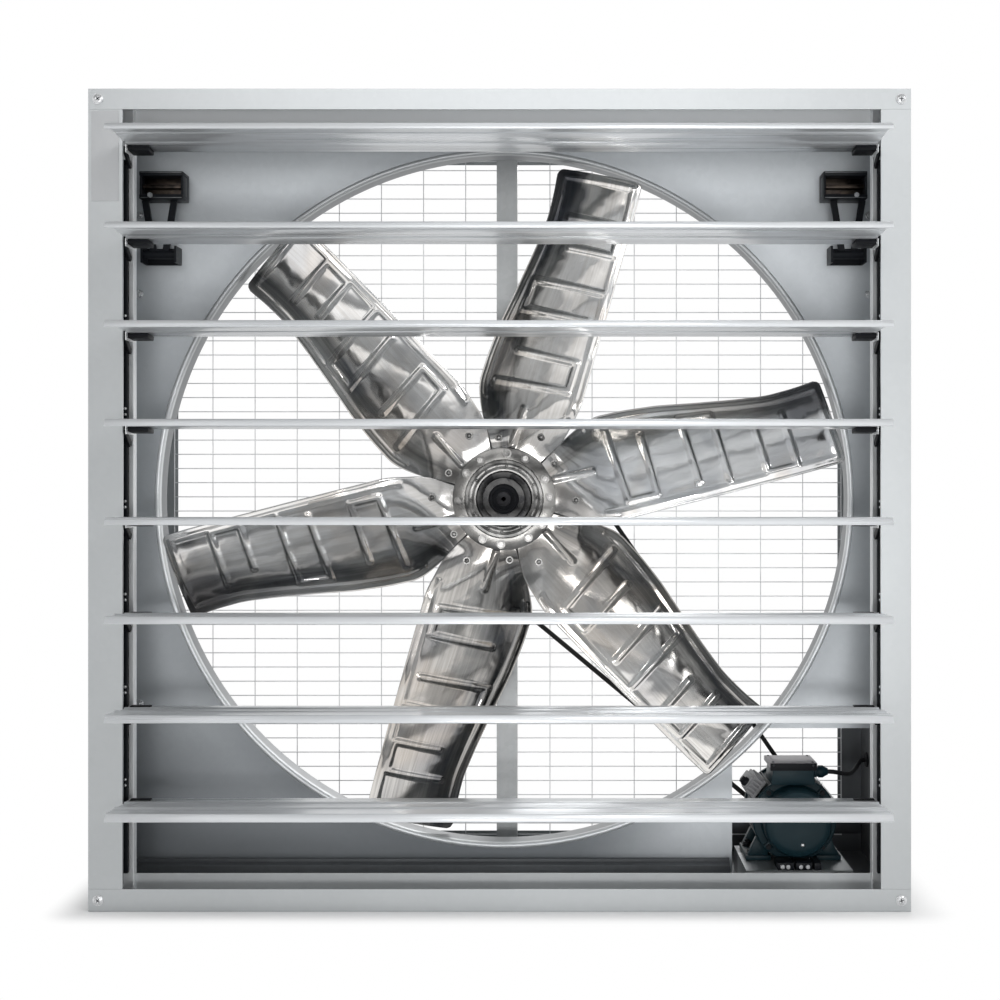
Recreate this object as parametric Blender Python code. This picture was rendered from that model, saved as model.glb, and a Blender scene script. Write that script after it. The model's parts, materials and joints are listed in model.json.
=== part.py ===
"""Belt-driven exhaust fan in a square sheet-steel casing, with a louvred shutter.

Metres, +Z up. The origin is the centre of the casing's bottom face. The shutter
faces -Y, the guard is at the back (+Y), and the propeller turns about a shaft
along Y at half the casing's height.
"""

from math import acos, asin, atan2, ceil, cos, hypot, pi, radians, sin, tan

import bmesh
import bpy
from mathutils import Matrix, Vector

# Casing

CASING_WIDTH = 1.380
CASING_HEIGHT = 1.380
CASING_DEPTH = 0.400
SHEET = 0.0015
FIT_GAP = 0.0003
TOP_RAIL = 0.0345
BOTTOM_RAIL = 0.0375
LEFT_RAIL = 0.0575
RIGHT_RAIL = 0.0505
RAIL_LIP = 0.006
REAR_SIDE_FLANGE = 0.048
REAR_END_FLANGE = 0.042
SCREW_INSET = 0.0165
SCREW_HEAD_RADIUS = 0.008
SCREW_HEAD_HEIGHT = 0.0035
SCREW_SHANK_RADIUS = 0.003
SCREW_SHANK_LENGTH = 0.012
SCREW_HOLE_CLEARANCE = 0.0005

# Bulkhead and air ring

BULKHEAD_DISC_LEAD = 0.010
RING_SIDE_MARGIN = 0.063
RING_DEPTH = 0.045
RING_LIP_RADIUS = 0.005
NOTCH_WIDTH = 0.275
NOTCH_HEIGHT = 0.272

# Rear guard and post

WIRE = 0.0024
GUARD_PITCH = 0.1303
GUARD_OVERLAP = 0.008
POST_WIDTH = 0.039
POST_DEPTH = 0.040
POST_SHEET = 0.0025
POST_REAR_MARGIN = 0.015

# Shutter

LOUVRE_COUNT = 8
LOUVRE_TOP_MARGIN = 0.0978
LOUVRE_BOTTOM_MARGIN = 0.1748
LOUVRE_LAP = 0.0021
LOUVRE_SIDE_GAP = 0.005
LOUVRE_SHEET = 0.0014
LOUVRE_STANDOFF = 0.006
LOUVRE_OPEN_TILT = radians(3.3)
LOUVRE_LIP = 0.0142
LOUVRE_LIP_TURN = radians(54)
LOUVRE_TAIL = 0.035
LOUVRE_RIB_HEIGHT = 0.003
LOUVRE_RIB_WIDTH = 0.012
LOUVRE_HINGE_SETBACK = 0.015
HINGE_PIN_RADIUS = 0.003
PIN_CLEARANCE = 0.0005
CRANK_REACH = 0.031
CRANK_DROP = 0.022
CRANK_ARM_THICKNESS = 0.004
CRANK_ARM_HALF_WIDTH = 0.006
CRANK_ARM_END = 0.004
BRACKET_LENGTH = 0.043
BRACKET_NOSE = 0.013
BRACKET_TAIL_GAP = 0.004
BRACKET_DROP = 0.006
STRIP_SHEET = 0.0015
STRIP_GAP = 0.0015
STRIP_FRONT = 0.0375
STRIP_BACK = 0.0555
EAR_HALF_HEIGHT = 0.0065
EAR_REACH = 0.0065
ROD_WIDTH = 0.009
ROD_DEPTH = 0.008
ROD_BOSS_RADIUS = 0.0065
ROD_SIDE_GAP = 0.0055
ROD_TOP_TAIL = 0.010
ROD_BOTTOM_TAIL = 0.100
SHUTTER_RAIL_SETBACK = 0.050
SHUTTER_RAIL_FOOT = 0.018
SHUTTER_TOP_RAIL_DROP = 0.043
SHUTTER_BOTTOM_RAIL_RISE = 0.0474

# Shutter weights

LEVER_STANDOFF = 0.030
LEVER_DROP = 0.250
LEVER_SIDE_MARGIN = 0.070
LEVER_HALF_LENGTH = 0.028
LEVER_TUBE_RADIUS = 0.008
LEVER_PIN_RADIUS = 0.004
LEVER_ARM_LENGTH = 0.097
LEVER_ARM_WIDTH = 0.012
LEVER_ARM_THICKNESS = 0.005
LEVER_ARM_SPREAD = 0.052
LEVER_ARM_ROOT_SPREAD = 0.020
WEIGHT_LENGTH = 0.084
WEIGHT_OFFSET = 0.011
WEIGHT_HEIGHT = 0.053
WEIGHT_DEPTH = 0.045
WEIGHT_WEB = 0.016
WEIGHT_FLANGE = 0.012
LEVER_BRACKET_SHEET = 0.004
LEVER_BRACKET_HEIGHT = 0.030
LEVER_BRACKET_NOSE = 0.010

# Propeller

BLADE_COUNT = 6
FIRST_BLADE_ANGLE = radians(14)
TIP_CLEARANCE = 0.0115
BLADE_SHEET = 0.002
BLADE_LEAD_WIDTH = 0.108
BLADE_TRAIL_WIDTH = 0.088
BLADE_PITCH = radians(31)
BLADE_CAMBER = 0.012
BLADE_ROOT_RADIUS = 0.062
BLADE_MIDLINE_OFFSET = 0.021
HUB_DISC_RADIUS = 0.095
HUB_DISC_THICKNESS = 0.006
HUB_BARREL_RADIUS = 0.045
HUB_BARREL_LENGTH = 0.083
HUB_STEP_RADIUS = 0.050
HUB_STEP_HEIGHT = 0.014
HUB_NOSE_RADIUS = 0.039
HUB_NOSE_HEIGHT = 0.011
AXLE_RADIUS = 0.0125
AXLE_SHOULDER_RADIUS = 0.021
AXLE_TIP = 0.004
AXLE_CENTRE_RADIUS = 0.004
AXLE_CENTRE_DEPTH = 0.006
AXLE_THREAD = 0.026
NUT_RADIUS = 0.0175
NUT_THICKNESS = 0.014
BEARING_RADIUS = 0.027
BEARING_WIDTH = 0.015
BEARING_INSET = 0.002

# Belt drive

PULLEY_RADIUS = 0.147
MOTOR_PULLEY_RADIUS = 0.042
PULLEY_WIDTH = 0.022
PULLEY_POST_GAP = 0.0237
PULLEY_RIM = 0.018
PULLEY_WEB = 0.006
PULLEY_BORE_CLEARANCE = 0.004
PULLEY_BOSS_RADIUS = 0.045
GROOVE_DEPTH = 0.0105
GROOVE_HALF_TOP = 0.0071
GROOVE_HALF_BOTTOM = 0.0049
BELT_THICKNESS = 0.008
BELT_HALF_TOP = 0.0064
BELT_HALF_BOTTOM = 0.0046
BELT_SINK = 0.0006

# Motor

MOTOR_SIDE_MARGIN = 0.172
MOTOR_HEIGHT = 0.123
MOTOR_FRONT_SETBACK = 0.095
MOTOR_RADIUS = 0.0745
MOTOR_WALL = 0.0045
MOTOR_CAP_RADIUS = 0.060
MOTOR_CAP_DEPTH = 0.047
MOTOR_RIM_WIDTH = 0.008
MOTOR_PULLEY_GAP = 0.0167
MOTOR_REAR_SHIELD_DEPTH = 0.020
MOTOR_REAR_NOSE_RADIUS = 0.036
MOTOR_SHAFT_RADIUS = 0.012
MOTOR_SHAFT_TIP = 0.004
MOTOR_AIR_GAP = 0.0012
STATOR_BORE_RADIUS = 0.043
STATOR_INSET = 0.014
BASE_WIDTH = 0.186
BASE_LENGTH = 0.176
BASE_HEIGHT = 0.045
BASE_SHEET = 0.003
BASE_FRONT_OVERHANG = 0.004
FOOT_WIDTH = 0.170
FOOT_HEIGHT = 0.009
FOOT_INSET = 0.008
TERMINAL_WIDTH = 0.080
TERMINAL_OFFSET = 0.005
TERMINAL_LENGTH = 0.072
TERMINAL_SETBACK = 0.033
TERMINAL_RISE = 0.093
TERMINAL_SINK = 0.014
TERMINAL_WALL = 0.003
TERMINAL_LID = 0.009
TERMINAL_LID_LIP = 0.002
SHOULDER_ANGLE = radians(52)
CAPACITOR_WIDTH = 0.038
CAPACITOR_HEIGHT = 0.028
CAPACITOR_LENGTH = 0.078
CAPACITOR_SETBACK = 0.062
RATING_PLATE_WIDTH = 0.040
RATING_PLATE_LENGTH = 0.070
RATING_PLATE_HEIGHT = 0.002
GLAND_RADIUS = 0.011
GLAND_LENGTH = 0.018
GLAND_DROP = 0.0115
GLAND_SETBACK = 0.062
GLAND_NECK_RADIUS = 0.007
GLAND_NECK_LENGTH = 0.007
LEAD_DIAMETER = 0.008
LEAD_CLEARANCE = 0.0005
GROMMET_REAR_MARGIN = 0.054
GROMMET_HEIGHT = 0.190
GROMMET_RADIUS = 0.014
GROMMET_NECK_RADIUS = 0.010
GROMMET_FLANGE = 0.003
GROMMET_POCKET = 0.0035

# Where the lead sags between its gland and its grommet, as shares of the run along X, along Y
# and from one end's height to the other's, with the sag as a share of the run's length
LEAD_RUN_SHARES = [
    (0.00, 0.00, 0.00, 0.000),
    (0.16, 0.01, 0.02, 0.004),
    (0.32, 0.09, 0.10, 0.024),
    (0.47, 0.26, 0.24, 0.046),
    (0.60, 0.47, 0.42, 0.058),
    (0.72, 0.68, 0.60, 0.052),
    (0.83, 0.86, 0.77, 0.034),
    (0.92, 0.98, 0.92, 0.010),
    (1.00, 1.00, 1.00, 0.000),
]
LEAD_POINTS_PER_SPAN = 3

# Blade outline: share of the tip radius, share of the leading and trailing half widths,
# share of the pitch, and how far the midline has moved back from the hub disc
BLADE_STATION_SHARES = [
    (0.100, 0.300, 0.340, 0.00, 0.00),
    (0.155, 0.370, 0.430, 0.00, 0.00),
    (0.180, 0.480, 0.560, 0.18, 0.08),
    (0.215, 0.660, 0.760, 0.48, 0.28),
    (0.262, 0.880, 0.920, 0.82, 0.62),
    (0.316, 1.000, 1.000, 1.00, 0.90),
    (0.410, 0.985, 1.000, 1.00, 1.00),
    (0.512, 0.925, 1.000, 0.98, 1.00),
    (0.620, 0.810, 1.000, 0.94, 1.00),
    (0.741, 0.695, 0.990, 0.89, 1.00),
    (0.836, 0.625, 0.985, 0.85, 1.00),
    (0.920, 0.630, 0.975, 0.81, 1.00),
    (0.982, 0.640, 0.955, 0.79, 1.00),
    (1.000, 0.560, 0.870, 0.78, 1.00),
]
BLADE_CHORD_STEPS = 6

# How far from the louvre's tail to its bend its two stiffening ribs lie
LOUVRE_RIB_SHARES = (0.34, 0.68)

# Facets of the round pieces

RING_STEPS = 56
PULLEY_STEPS = 36
ROUND_STEPS = 28
SMALL_STEPS = 12
PIN_STEPS = 8
LIP_STEPS = 3
BELT_SMALL_STEPS = 14
CUT_OVERRUN = 0.010

# Places worked out from the sizes

FRONT_Y = -CASING_DEPTH / 2
REAR_Y = CASING_DEPTH / 2
SHAFT_HEIGHT = CASING_HEIGHT / 2
HALF_WIDTH = CASING_WIDTH / 2
INNER_HALF_WIDTH = HALF_WIDTH - SHEET - FIT_GAP
FLOOR_TOP = SHEET + FIT_GAP
ROOF_BOTTOM = CASING_HEIGHT - SHEET - FIT_GAP
RING_RADIUS = min(CASING_WIDTH, CASING_HEIGHT) / 2 - RING_SIDE_MARGIN
TIP_RADIUS = RING_RADIUS - TIP_CLEARANCE
SHUTTER_X = (LEFT_RAIL - RIGHT_RAIL) / 2
LOUVRE_LENGTH = CASING_WIDTH - LEFT_RAIL - RIGHT_RAIL - 2 * LOUVRE_SIDE_GAP
LOUVRE_PITCH = (CASING_HEIGHT - LOUVRE_TOP_MARGIN - LOUVRE_BOTTOM_MARGIN) / (LOUVRE_COUNT - 1)
LOUVRE_REACH = LOUVRE_PITCH - LOUVRE_TAIL + LOUVRE_LAP
HINGE_Y = FRONT_Y + LOUVRE_HINGE_SETBACK
CRANK_Y = HINGE_Y + CRANK_REACH
STRIP_INNER = LOUVRE_LENGTH / 2 + STRIP_GAP
ROD_INNER = STRIP_INNER + STRIP_SHEET + ROD_SIDE_GAP
ROD_OUTER = ROD_INNER + ROD_WIDTH
CRANK_ARM_OUTER = ROD_INNER - PIN_CLEARANCE
POST_FRONT_Y = REAR_Y - POST_REAR_MARGIN - POST_DEPTH
BELT_Y = POST_FRONT_Y - PULLEY_POST_GAP - PULLEY_WIDTH / 2
PULLEY_FRONT_Y = BELT_Y - PULLEY_WIDTH
HUB_REAR_Y = PULLEY_FRONT_Y - FIT_GAP
DISC_Y = HUB_REAR_Y - HUB_BARREL_LENGTH
HUB_FRONT_Y = DISC_Y - HUB_STEP_HEIGHT - HUB_NOSE_HEIGHT
BULKHEAD_Y = DISC_Y + BULKHEAD_DISC_LEAD
MOTOR_X = HALF_WIDTH - MOTOR_SIDE_MARGIN
MOTOR_FRONT_Y = FRONT_Y + MOTOR_FRONT_SETBACK
HOUSING_Y = MOTOR_FRONT_Y + MOTOR_CAP_DEPTH + MOTOR_RIM_WIDTH + FIT_GAP
HOUSING_BACK_Y = BELT_Y - PULLEY_WIDTH / 2 - MOTOR_PULLEY_GAP - MOTOR_REAR_SHIELD_DEPTH - FIT_GAP
TERMINAL_TOP = MOTOR_HEIGHT + TERMINAL_RISE
TERMINAL_X = MOTOR_X - TERMINAL_OFFSET
TERMINAL_Y = MOTOR_FRONT_Y + TERMINAL_SETBACK
GLAND_X = TERMINAL_X + TERMINAL_WIDTH / 2 + FIT_GAP
GLAND_Y = MOTOR_FRONT_Y + GLAND_SETBACK
GLAND_HEIGHT = TERMINAL_TOP - GLAND_DROP
GLAND_TIP_X = GLAND_X + GLAND_LENGTH + GLAND_NECK_LENGTH
GROMMET_Y = REAR_Y - GROMMET_REAR_MARGIN

# Finishes, as colour, roughness and metallic value

FINISHES = {
    "galvanised": ((0.60, 0.64, 0.66, 1.0), 0.42, 0.85),
    "galvanised_dark": ((0.34, 0.37, 0.39, 1.0), 0.50, 0.80),
    "louvre_aluminium": ((0.74, 0.77, 0.80, 1.0), 0.32, 0.90),
    "blade_steel": ((0.70, 0.68, 0.66, 1.0), 0.14, 1.00),
    "hub_steel": ((0.55, 0.55, 0.56, 1.0), 0.28, 1.00),
    "axle_steel": ((0.30, 0.31, 0.33, 1.0), 0.35, 1.00),
    "zinc_steel": ((0.66, 0.67, 0.68, 1.0), 0.30, 1.00),
    "black_steel": ((0.025, 0.027, 0.032, 1.0), 0.45, 0.20),
    "black_plastic": ((0.020, 0.021, 0.024, 1.0), 0.50, 0.00),
    "belt_rubber": ((0.018, 0.018, 0.020, 1.0), 0.80, 0.00),
    "motor_paint": ((0.020, 0.062, 0.075, 1.0), 0.38, 0.00),
    "lid_grey": ((0.42, 0.41, 0.42, 1.0), 0.45, 0.00),
    "cast_iron": ((0.22, 0.23, 0.24, 1.0), 0.55, 0.85),
    "winding_copper": ((0.55, 0.26, 0.12, 1.0), 0.40, 0.90),
}


def clear_scene():
    """Remove every object of the scene."""
    for thing in list(bpy.data.objects):
        bpy.data.objects.remove(thing, do_unlink=True)


def make_finish(name):
    """Return a finish's material, made once."""
    known = bpy.data.materials.get(name)
    if known:
        return known
    colour, roughness, metallic = FINISHES[name]
    finish = bpy.data.materials.new(name)
    finish.use_nodes = True
    shader = finish.node_tree.nodes["Principled BSDF"]
    shader.inputs["Base Color"].default_value = colour
    shader.inputs["Roughness"].default_value = roughness
    shader.inputs["Metallic"].default_value = metallic
    return finish


def make_object(name, maker, finish=None):
    """Turn a bmesh into a smooth-shaded object with sharp corners."""
    bmesh.ops.remove_doubles(maker, verts=maker.verts, dist=1e-6)
    bmesh.ops.dissolve_degenerate(maker, edges=maker.edges, dist=1e-7)
    bmesh.ops.recalc_face_normals(maker, faces=maker.faces)
    mesh = bpy.data.meshes.new(name)
    maker.to_mesh(mesh)
    maker.free()
    mesh.shade_smooth()
    mesh.set_sharp_from_angle(angle=radians(32))
    piece = bpy.data.objects.new(name, mesh)
    bpy.context.scene.collection.objects.link(piece)
    if finish:
        mesh.materials.append(make_finish(finish))
    return piece


def place(piece, at=(0, 0, 0), turn=0.0, parent=None):
    """Put a piece at its place, turned about Y, under its parent."""
    piece.parent = parent
    piece.location = at
    piece.rotation_euler = (0, turn, 0)
    return piece


def make_axis(name, at):
    """An empty on a joint's axis, which carries the pieces that move with it."""
    axis = bpy.data.objects.new(name, None)
    bpy.context.scene.collection.objects.link(axis)
    axis.location = at
    return axis


def box(name, low, high, finish=None):
    """A box from its lowest to its highest corner."""
    maker = bmesh.new()
    bmesh.ops.create_cube(maker, size=1)
    size = Vector(high) - Vector(low)
    middle = (Vector(high) + Vector(low)) / 2
    bmesh.ops.transform(maker, matrix=Matrix.Translation(middle) @ Matrix.Diagonal(size.to_4d()),
                        verts=maker.verts)
    return make_object(name, maker, finish)


def prism(name, outline, lift, finish=None):
    """A flat outline of 3-D points, extruded along one vector."""
    maker = bmesh.new()
    corners = [maker.verts.new(point) for point in outline]
    face = maker.faces.new(corners)
    grown = bmesh.ops.extrude_face_region(maker, geom=[face])["geom"]
    moved = [part for part in grown if isinstance(part, bmesh.types.BMVert)]
    bmesh.ops.translate(maker, verts=moved, vec=lift)
    return make_object(name, maker, finish)


def turned(name, profile, steps, axis="Y", at=(0, 0, 0), finish=None):
    """A solid turned about an axis, from a profile of (radius, distance along the axis).

    A profile that starts and ends on the axis closes there by itself, and any other is a loop.
    """
    maker = bmesh.new()
    along = {"X": Vector((1, 0, 0)), "Y": Vector((0, 1, 0))}[axis]
    across = Vector((0, 0, 1))
    centre = Vector(at)
    line = [maker.verts.new(centre + across * radius + along * distance) for radius, distance in profile]
    links = list(zip(line, line[1:]))
    if profile[0][0] or profile[-1][0]:
        links.append((line[-1], line[0]))
    edges = [maker.edges.new(link) for link in links]
    bmesh.ops.spin(maker, geom=edges + line, cent=centre, axis=along, angle=2 * pi, steps=steps,
                   use_merge=True, use_duplicate=False)
    return make_object(name, maker, finish)


def rod(name, radius, start, end, steps, axis="Y", at=(0, 0, 0), finish=None):
    """A round bar along an axis."""
    profile = [(0, start), (radius, start), (radius, end), (0, end)]
    return turned(name, profile, steps, axis, at, finish)


def folded_sheet(name, outline, folds, thickness, finish):
    """Sheet metal: a flat outline, whose named edges are folded along vectors, given a thickness."""
    maker = bmesh.new()
    corners = [maker.verts.new(point) for point in outline]
    maker.faces.new(corners)
    for first, steps in folds:
        edge = maker.edges.get((corners[first], corners[(first + 1) % len(corners)]))
        for step in steps:
            grown = bmesh.ops.extrude_edge_only(maker, edges=[edge])["geom"]
            moved = [part for part in grown if isinstance(part, bmesh.types.BMVert)]
            bmesh.ops.translate(maker, verts=moved, vec=step)
            edge = maker.edges.get(moved)
    piece = make_object(name, maker, finish)
    wall = piece.modifiers.new("wall", "SOLIDIFY")
    wall.thickness = thickness
    wall.offset = 0
    wall.use_even_offset = True
    return piece


def settle(piece, finish):
    """Turn a piece's modifiers into its mesh, in one finish."""
    evaluated = piece.evaluated_get(bpy.context.evaluated_depsgraph_get())
    mesh = bpy.data.meshes.new_from_object(evaluated)
    maker = bmesh.new()
    maker.from_mesh(mesh)
    bmesh.ops.remove_doubles(maker, verts=maker.verts, dist=1e-6)
    bmesh.ops.dissolve_degenerate(maker, edges=maker.edges, dist=1e-7)
    maker.to_mesh(mesh)
    maker.free()
    mesh.name = piece.name
    mesh.materials.clear()
    mesh.materials.append(make_finish(finish))
    mesh.shade_smooth()
    mesh.set_sharp_from_angle(angle=radians(32))
    piece.modifiers.clear()
    piece.data = mesh
    return piece


def combine(piece, tools, operation, finish):
    """Add tools to a piece, or cut them from it, and remove the tools."""
    for tool in tools:
        change = piece.modifiers.new(operation.lower(), "BOOLEAN")
        change.operation = operation
        change.object = tool
    bpy.context.view_layer.update()
    settle(piece, finish)
    for tool in tools:
        bpy.data.objects.remove(tool, do_unlink=True)
    return piece


def cut(piece, tools, finish):
    """Cut tools from a piece."""
    return combine(piece, tools, "DIFFERENCE", finish)


def fuse(piece, tools, finish):
    """Add tools to a piece, as one solid."""
    return combine(piece, tools, "UNION", finish)


def screw_places():
    """The four corners where a screw holds the casing's rails together."""
    for height, rail_middle in ((CASING_HEIGHT, -TOP_RAIL / 2), (0, BOTTOM_RAIL / 2)):
        for side in (-1, 1):
            yield side * (HALF_WIDTH - SCREW_INSET), height + rail_middle


def make_end_panel(name, height, rail, inward):
    """The casing's top or bottom: a full-width tray with a front rail and a rear flange."""
    middle = height + inward * SHEET / 2
    front = FRONT_Y + SHEET / 2
    rear = REAR_Y - SHEET / 2
    outline = [(-HALF_WIDTH, front, middle), (HALF_WIDTH, front, middle),
               (HALF_WIDTH, rear, middle), (-HALF_WIDTH, rear, middle)]
    folds = [(0, [(0, 0, inward * (rail - SHEET / 2))]),
             (2, [(0, 0, inward * (REAR_END_FLANGE - SHEET / 2))])]
    panel = folded_sheet(name, outline, folds, SHEET, "galvanised")
    drills = []
    for x, z in screw_places():
        if abs(z - height) < CASING_HEIGHT / 2:
            drills.append(rod("drill", SCREW_SHANK_RADIUS + SCREW_HOLE_CLEARANCE,
                              FRONT_Y - CUT_OVERRUN, FRONT_Y + CUT_OVERRUN, SMALL_STEPS, at=(x, 0, z)))
    return cut(panel, drills, "galvanised")


def make_side_panel(name, side, rail):
    """The casing's left or right side, between the top and bottom trays."""
    middle = side * (HALF_WIDTH - SHEET / 2)
    front = FRONT_Y + SHEET / 2
    rear = REAR_Y - SHEET / 2
    front_notch = FRONT_Y + SHEET + FIT_GAP
    rear_notch = REAR_Y - SHEET - FIT_GAP
    low_front = BOTTOM_RAIL + FIT_GAP
    high_front = CASING_HEIGHT - TOP_RAIL - FIT_GAP
    low_rear = REAR_END_FLANGE + FIT_GAP
    high_rear = CASING_HEIGHT - REAR_END_FLANGE - FIT_GAP
    outline = [(middle, front, high_front), (middle, front, low_front),
               (middle, front_notch, low_front), (middle, front_notch, FLOOR_TOP),
               (middle, rear_notch, FLOOR_TOP), (middle, rear_notch, low_rear),
               (middle, rear, low_rear), (middle, rear, high_rear),
               (middle, rear_notch, high_rear), (middle, rear_notch, ROOF_BOTTOM),
               (middle, front_notch, ROOF_BOTTOM), (middle, front_notch, high_front)]
    folds = [(0, [(-side * (rail - SHEET), 0, 0), (0, RAIL_LIP - SHEET / 2, 0)]),
             (6, [(-side * (REAR_SIDE_FLANGE - SHEET / 2), 0, 0)])]
    return folded_sheet(name, outline, folds, SHEET, "galvanised")


def make_casing():
    """The square casing: two trays, two sides and the screws of its four corners."""
    make_end_panel("bottom_panel", 0, BOTTOM_RAIL, 1)
    make_end_panel("top_panel", CASING_HEIGHT, TOP_RAIL, -1)
    make_side_panel("left_panel", -1, LEFT_RAIL)
    right = make_side_panel("right_panel", 1, RIGHT_RAIL)
    drill = rod("drill", GROMMET_NECK_RADIUS + SCREW_HOLE_CLEARANCE, HALF_WIDTH - CUT_OVERRUN,
                HALF_WIDTH + CUT_OVERRUN, SMALL_STEPS, axis="X", at=(0, GROMMET_Y, GROMMET_HEIGHT))
    cut(right, [drill], "galvanised")
    head_back = FRONT_Y - FIT_GAP
    profile = [(0, head_back - SCREW_HEAD_HEIGHT),
               (SCREW_HEAD_RADIUS * cos(pi / 4), head_back - SCREW_HEAD_HEIGHT * sin(pi / 4)),
               (SCREW_HEAD_RADIUS, head_back),
               (SCREW_SHANK_RADIUS, head_back),
               (SCREW_SHANK_RADIUS, head_back + SCREW_SHANK_LENGTH),
               (0, head_back + SCREW_SHANK_LENGTH)]
    for number, (x, z) in enumerate(screw_places(), start=1):
        screw = turned(f"corner_screw_{number}", profile, SMALL_STEPS, finish="zinc_steel")
        place(screw, at=(x, 0, z))


def make_bulkhead():
    """The plate across the casing that carries the air ring, open at the motor's corner."""
    plate = box("bulkhead_panel", (-INNER_HALF_WIDTH, BULKHEAD_Y, FLOOR_TOP),
                (INNER_HALF_WIDTH, BULKHEAD_Y + SHEET, ROOF_BOTTOM))
    hole = rod("hole", RING_RADIUS + SHEET + FIT_GAP, BULKHEAD_Y - CUT_OVERRUN,
               BULKHEAD_Y + CUT_OVERRUN, RING_STEPS, at=(0, 0, SHAFT_HEIGHT))
    notch = box("notch", (HALF_WIDTH - NOTCH_WIDTH, BULKHEAD_Y - CUT_OVERRUN, -CUT_OVERRUN),
                (HALF_WIDTH + CUT_OVERRUN, BULKHEAD_Y + CUT_OVERRUN, NOTCH_HEIGHT))
    cut(plate, [hole, notch], "galvanised_dark")


def make_ring():
    """The air ring: a short tube round the blade tips, with a rolled lip on the bulkhead."""
    lip_middle = RING_RADIUS + RING_LIP_RADIUS
    lip_back = BULKHEAD_Y - FIT_GAP
    outer = []
    inner = []
    for step in range(LIP_STEPS + 1):
        angle = pi * step / LIP_STEPS
        outer.append((lip_middle - RING_LIP_RADIUS * cos(angle), lip_back - RING_LIP_RADIUS * sin(angle)))
        thin = RING_LIP_RADIUS - SHEET
        inner.append((lip_middle - thin * cos(angle), lip_back - thin * sin(angle)))
    profile = [(RING_RADIUS, BULKHEAD_Y + RING_DEPTH)] + outer + inner[::-1]
    profile.append((RING_RADIUS + SHEET, BULKHEAD_Y + RING_DEPTH))
    turned("venturi_ring", profile, RING_STEPS, at=(0, 0, SHAFT_HEIGHT), finish="galvanised")


def wire_edges(low, high):
    """The edges of evenly spaced wires from one border wire to the other."""
    spans = max(ceil((high - low - WIRE) / GUARD_PITCH - 0.5), 2)
    pitch = (high - low - WIRE) / spans
    edges = []
    for wire in range(spans + 1):
        edges += [low + wire * pitch, low + wire * pitch + WIRE]
    return edges


def make_guard():
    """The welded wire guard across the casing's back, as one flat net."""
    back = REAR_Y - SHEET - FIT_GAP
    half = HALF_WIDTH - REAR_SIDE_FLANGE + GUARD_OVERLAP
    columns = wire_edges(-half, half)
    rows = wire_edges(REAR_END_FLANGE - GUARD_OVERLAP, CASING_HEIGHT - REAR_END_FLANGE + GUARD_OVERLAP)
    maker = bmesh.new()
    knots = [[maker.verts.new((x, back - WIRE, z)) for x in columns] for z in rows]
    for row in range(len(rows) - 1):
        for column in range(len(columns) - 1):
            if row % 2 and column % 2:
                continue
            maker.faces.new((knots[row][column], knots[row][column + 1],
                             knots[row + 1][column + 1], knots[row + 1][column]))
    grown = bmesh.ops.extrude_face_region(maker, geom=list(maker.faces))["geom"]
    moved = [part for part in grown if isinstance(part, bmesh.types.BMVert)]
    bmesh.ops.translate(maker, verts=moved, vec=(0, WIRE, 0))
    make_object("rear_guard", maker, "galvanised")


def make_post():
    """The upright channel behind the propeller, which holds the fixed axle."""
    half = POST_WIDTH / 2 - POST_SHEET / 2
    front = POST_FRONT_Y + POST_SHEET / 2
    outline = [(-half, front, FLOOR_TOP), (-half, front, ROOF_BOTTOM),
               (half, front, ROOF_BOTTOM), (half, front, FLOOR_TOP)]
    fold = (0, POST_DEPTH - POST_SHEET / 2, 0)
    post = folded_sheet("rear_post", outline, [(0, [fold]), (2, [fold])], POST_SHEET, "galvanised")
    drill = rod("drill", AXLE_RADIUS + FIT_GAP, POST_FRONT_Y - CUT_OVERRUN,
                POST_FRONT_Y + CUT_OVERRUN, ROUND_STEPS, at=(0, 0, SHAFT_HEIGHT))
    cut(post, [drill], "galvanised")


def louvre_heights():
    """The hinge heights of the louvres, from the top one down."""
    for number in range(LOUVRE_COUNT):
        yield CASING_HEIGHT - LOUVRE_TOP_MARGIN - number * LOUVRE_PITCH


def tilted(y, z):
    """A point about the hinge of the open louvre, whose tip stands a little higher than its tail."""
    return (y * cos(LOUVRE_OPEN_TILT) + z * sin(LOUVRE_OPEN_TILT),
            z * cos(LOUVRE_OPEN_TILT) - y * sin(LOUVRE_OPEN_TILT))


def louvre_section():
    """The louvre's middle line from its tail to the end of its lip, as (y, z) about the hinge."""
    line = [(LOUVRE_TAIL, LOUVRE_STANDOFF)]
    for share in LOUVRE_RIB_SHARES:
        centre = LOUVRE_TAIL - share * (LOUVRE_TAIL + LOUVRE_REACH)
        line += [(centre + LOUVRE_RIB_WIDTH / 2, LOUVRE_STANDOFF),
                 (centre, LOUVRE_STANDOFF + LOUVRE_RIB_HEIGHT),
                 (centre - LOUVRE_RIB_WIDTH / 2, LOUVRE_STANDOFF)]
    line += [(-LOUVRE_REACH, LOUVRE_STANDOFF),
             (-LOUVRE_REACH - LOUVRE_LIP * cos(LOUVRE_LIP_TURN),
              LOUVRE_STANDOFF - LOUVRE_LIP * sin(LOUVRE_LIP_TURN))]
    return [tilted(y, z) for y, z in line]


def make_end_bracket(side):
    """The bracket under one end of a louvre, which holds its hinge pin."""
    tail = LOUVRE_TAIL - BRACKET_TAIL_GAP
    corners = [(-BRACKET_NOSE, -BRACKET_DROP), (tail, -BRACKET_DROP),
               (tail, LOUVRE_STANDOFF), (-BRACKET_NOSE, LOUVRE_STANDOFF)]
    outline = [(side * LOUVRE_LENGTH / 2, *tilted(y, z)) for y, z in corners]
    return prism("bracket", outline, (-side * BRACKET_LENGTH, 0, 0))


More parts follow.
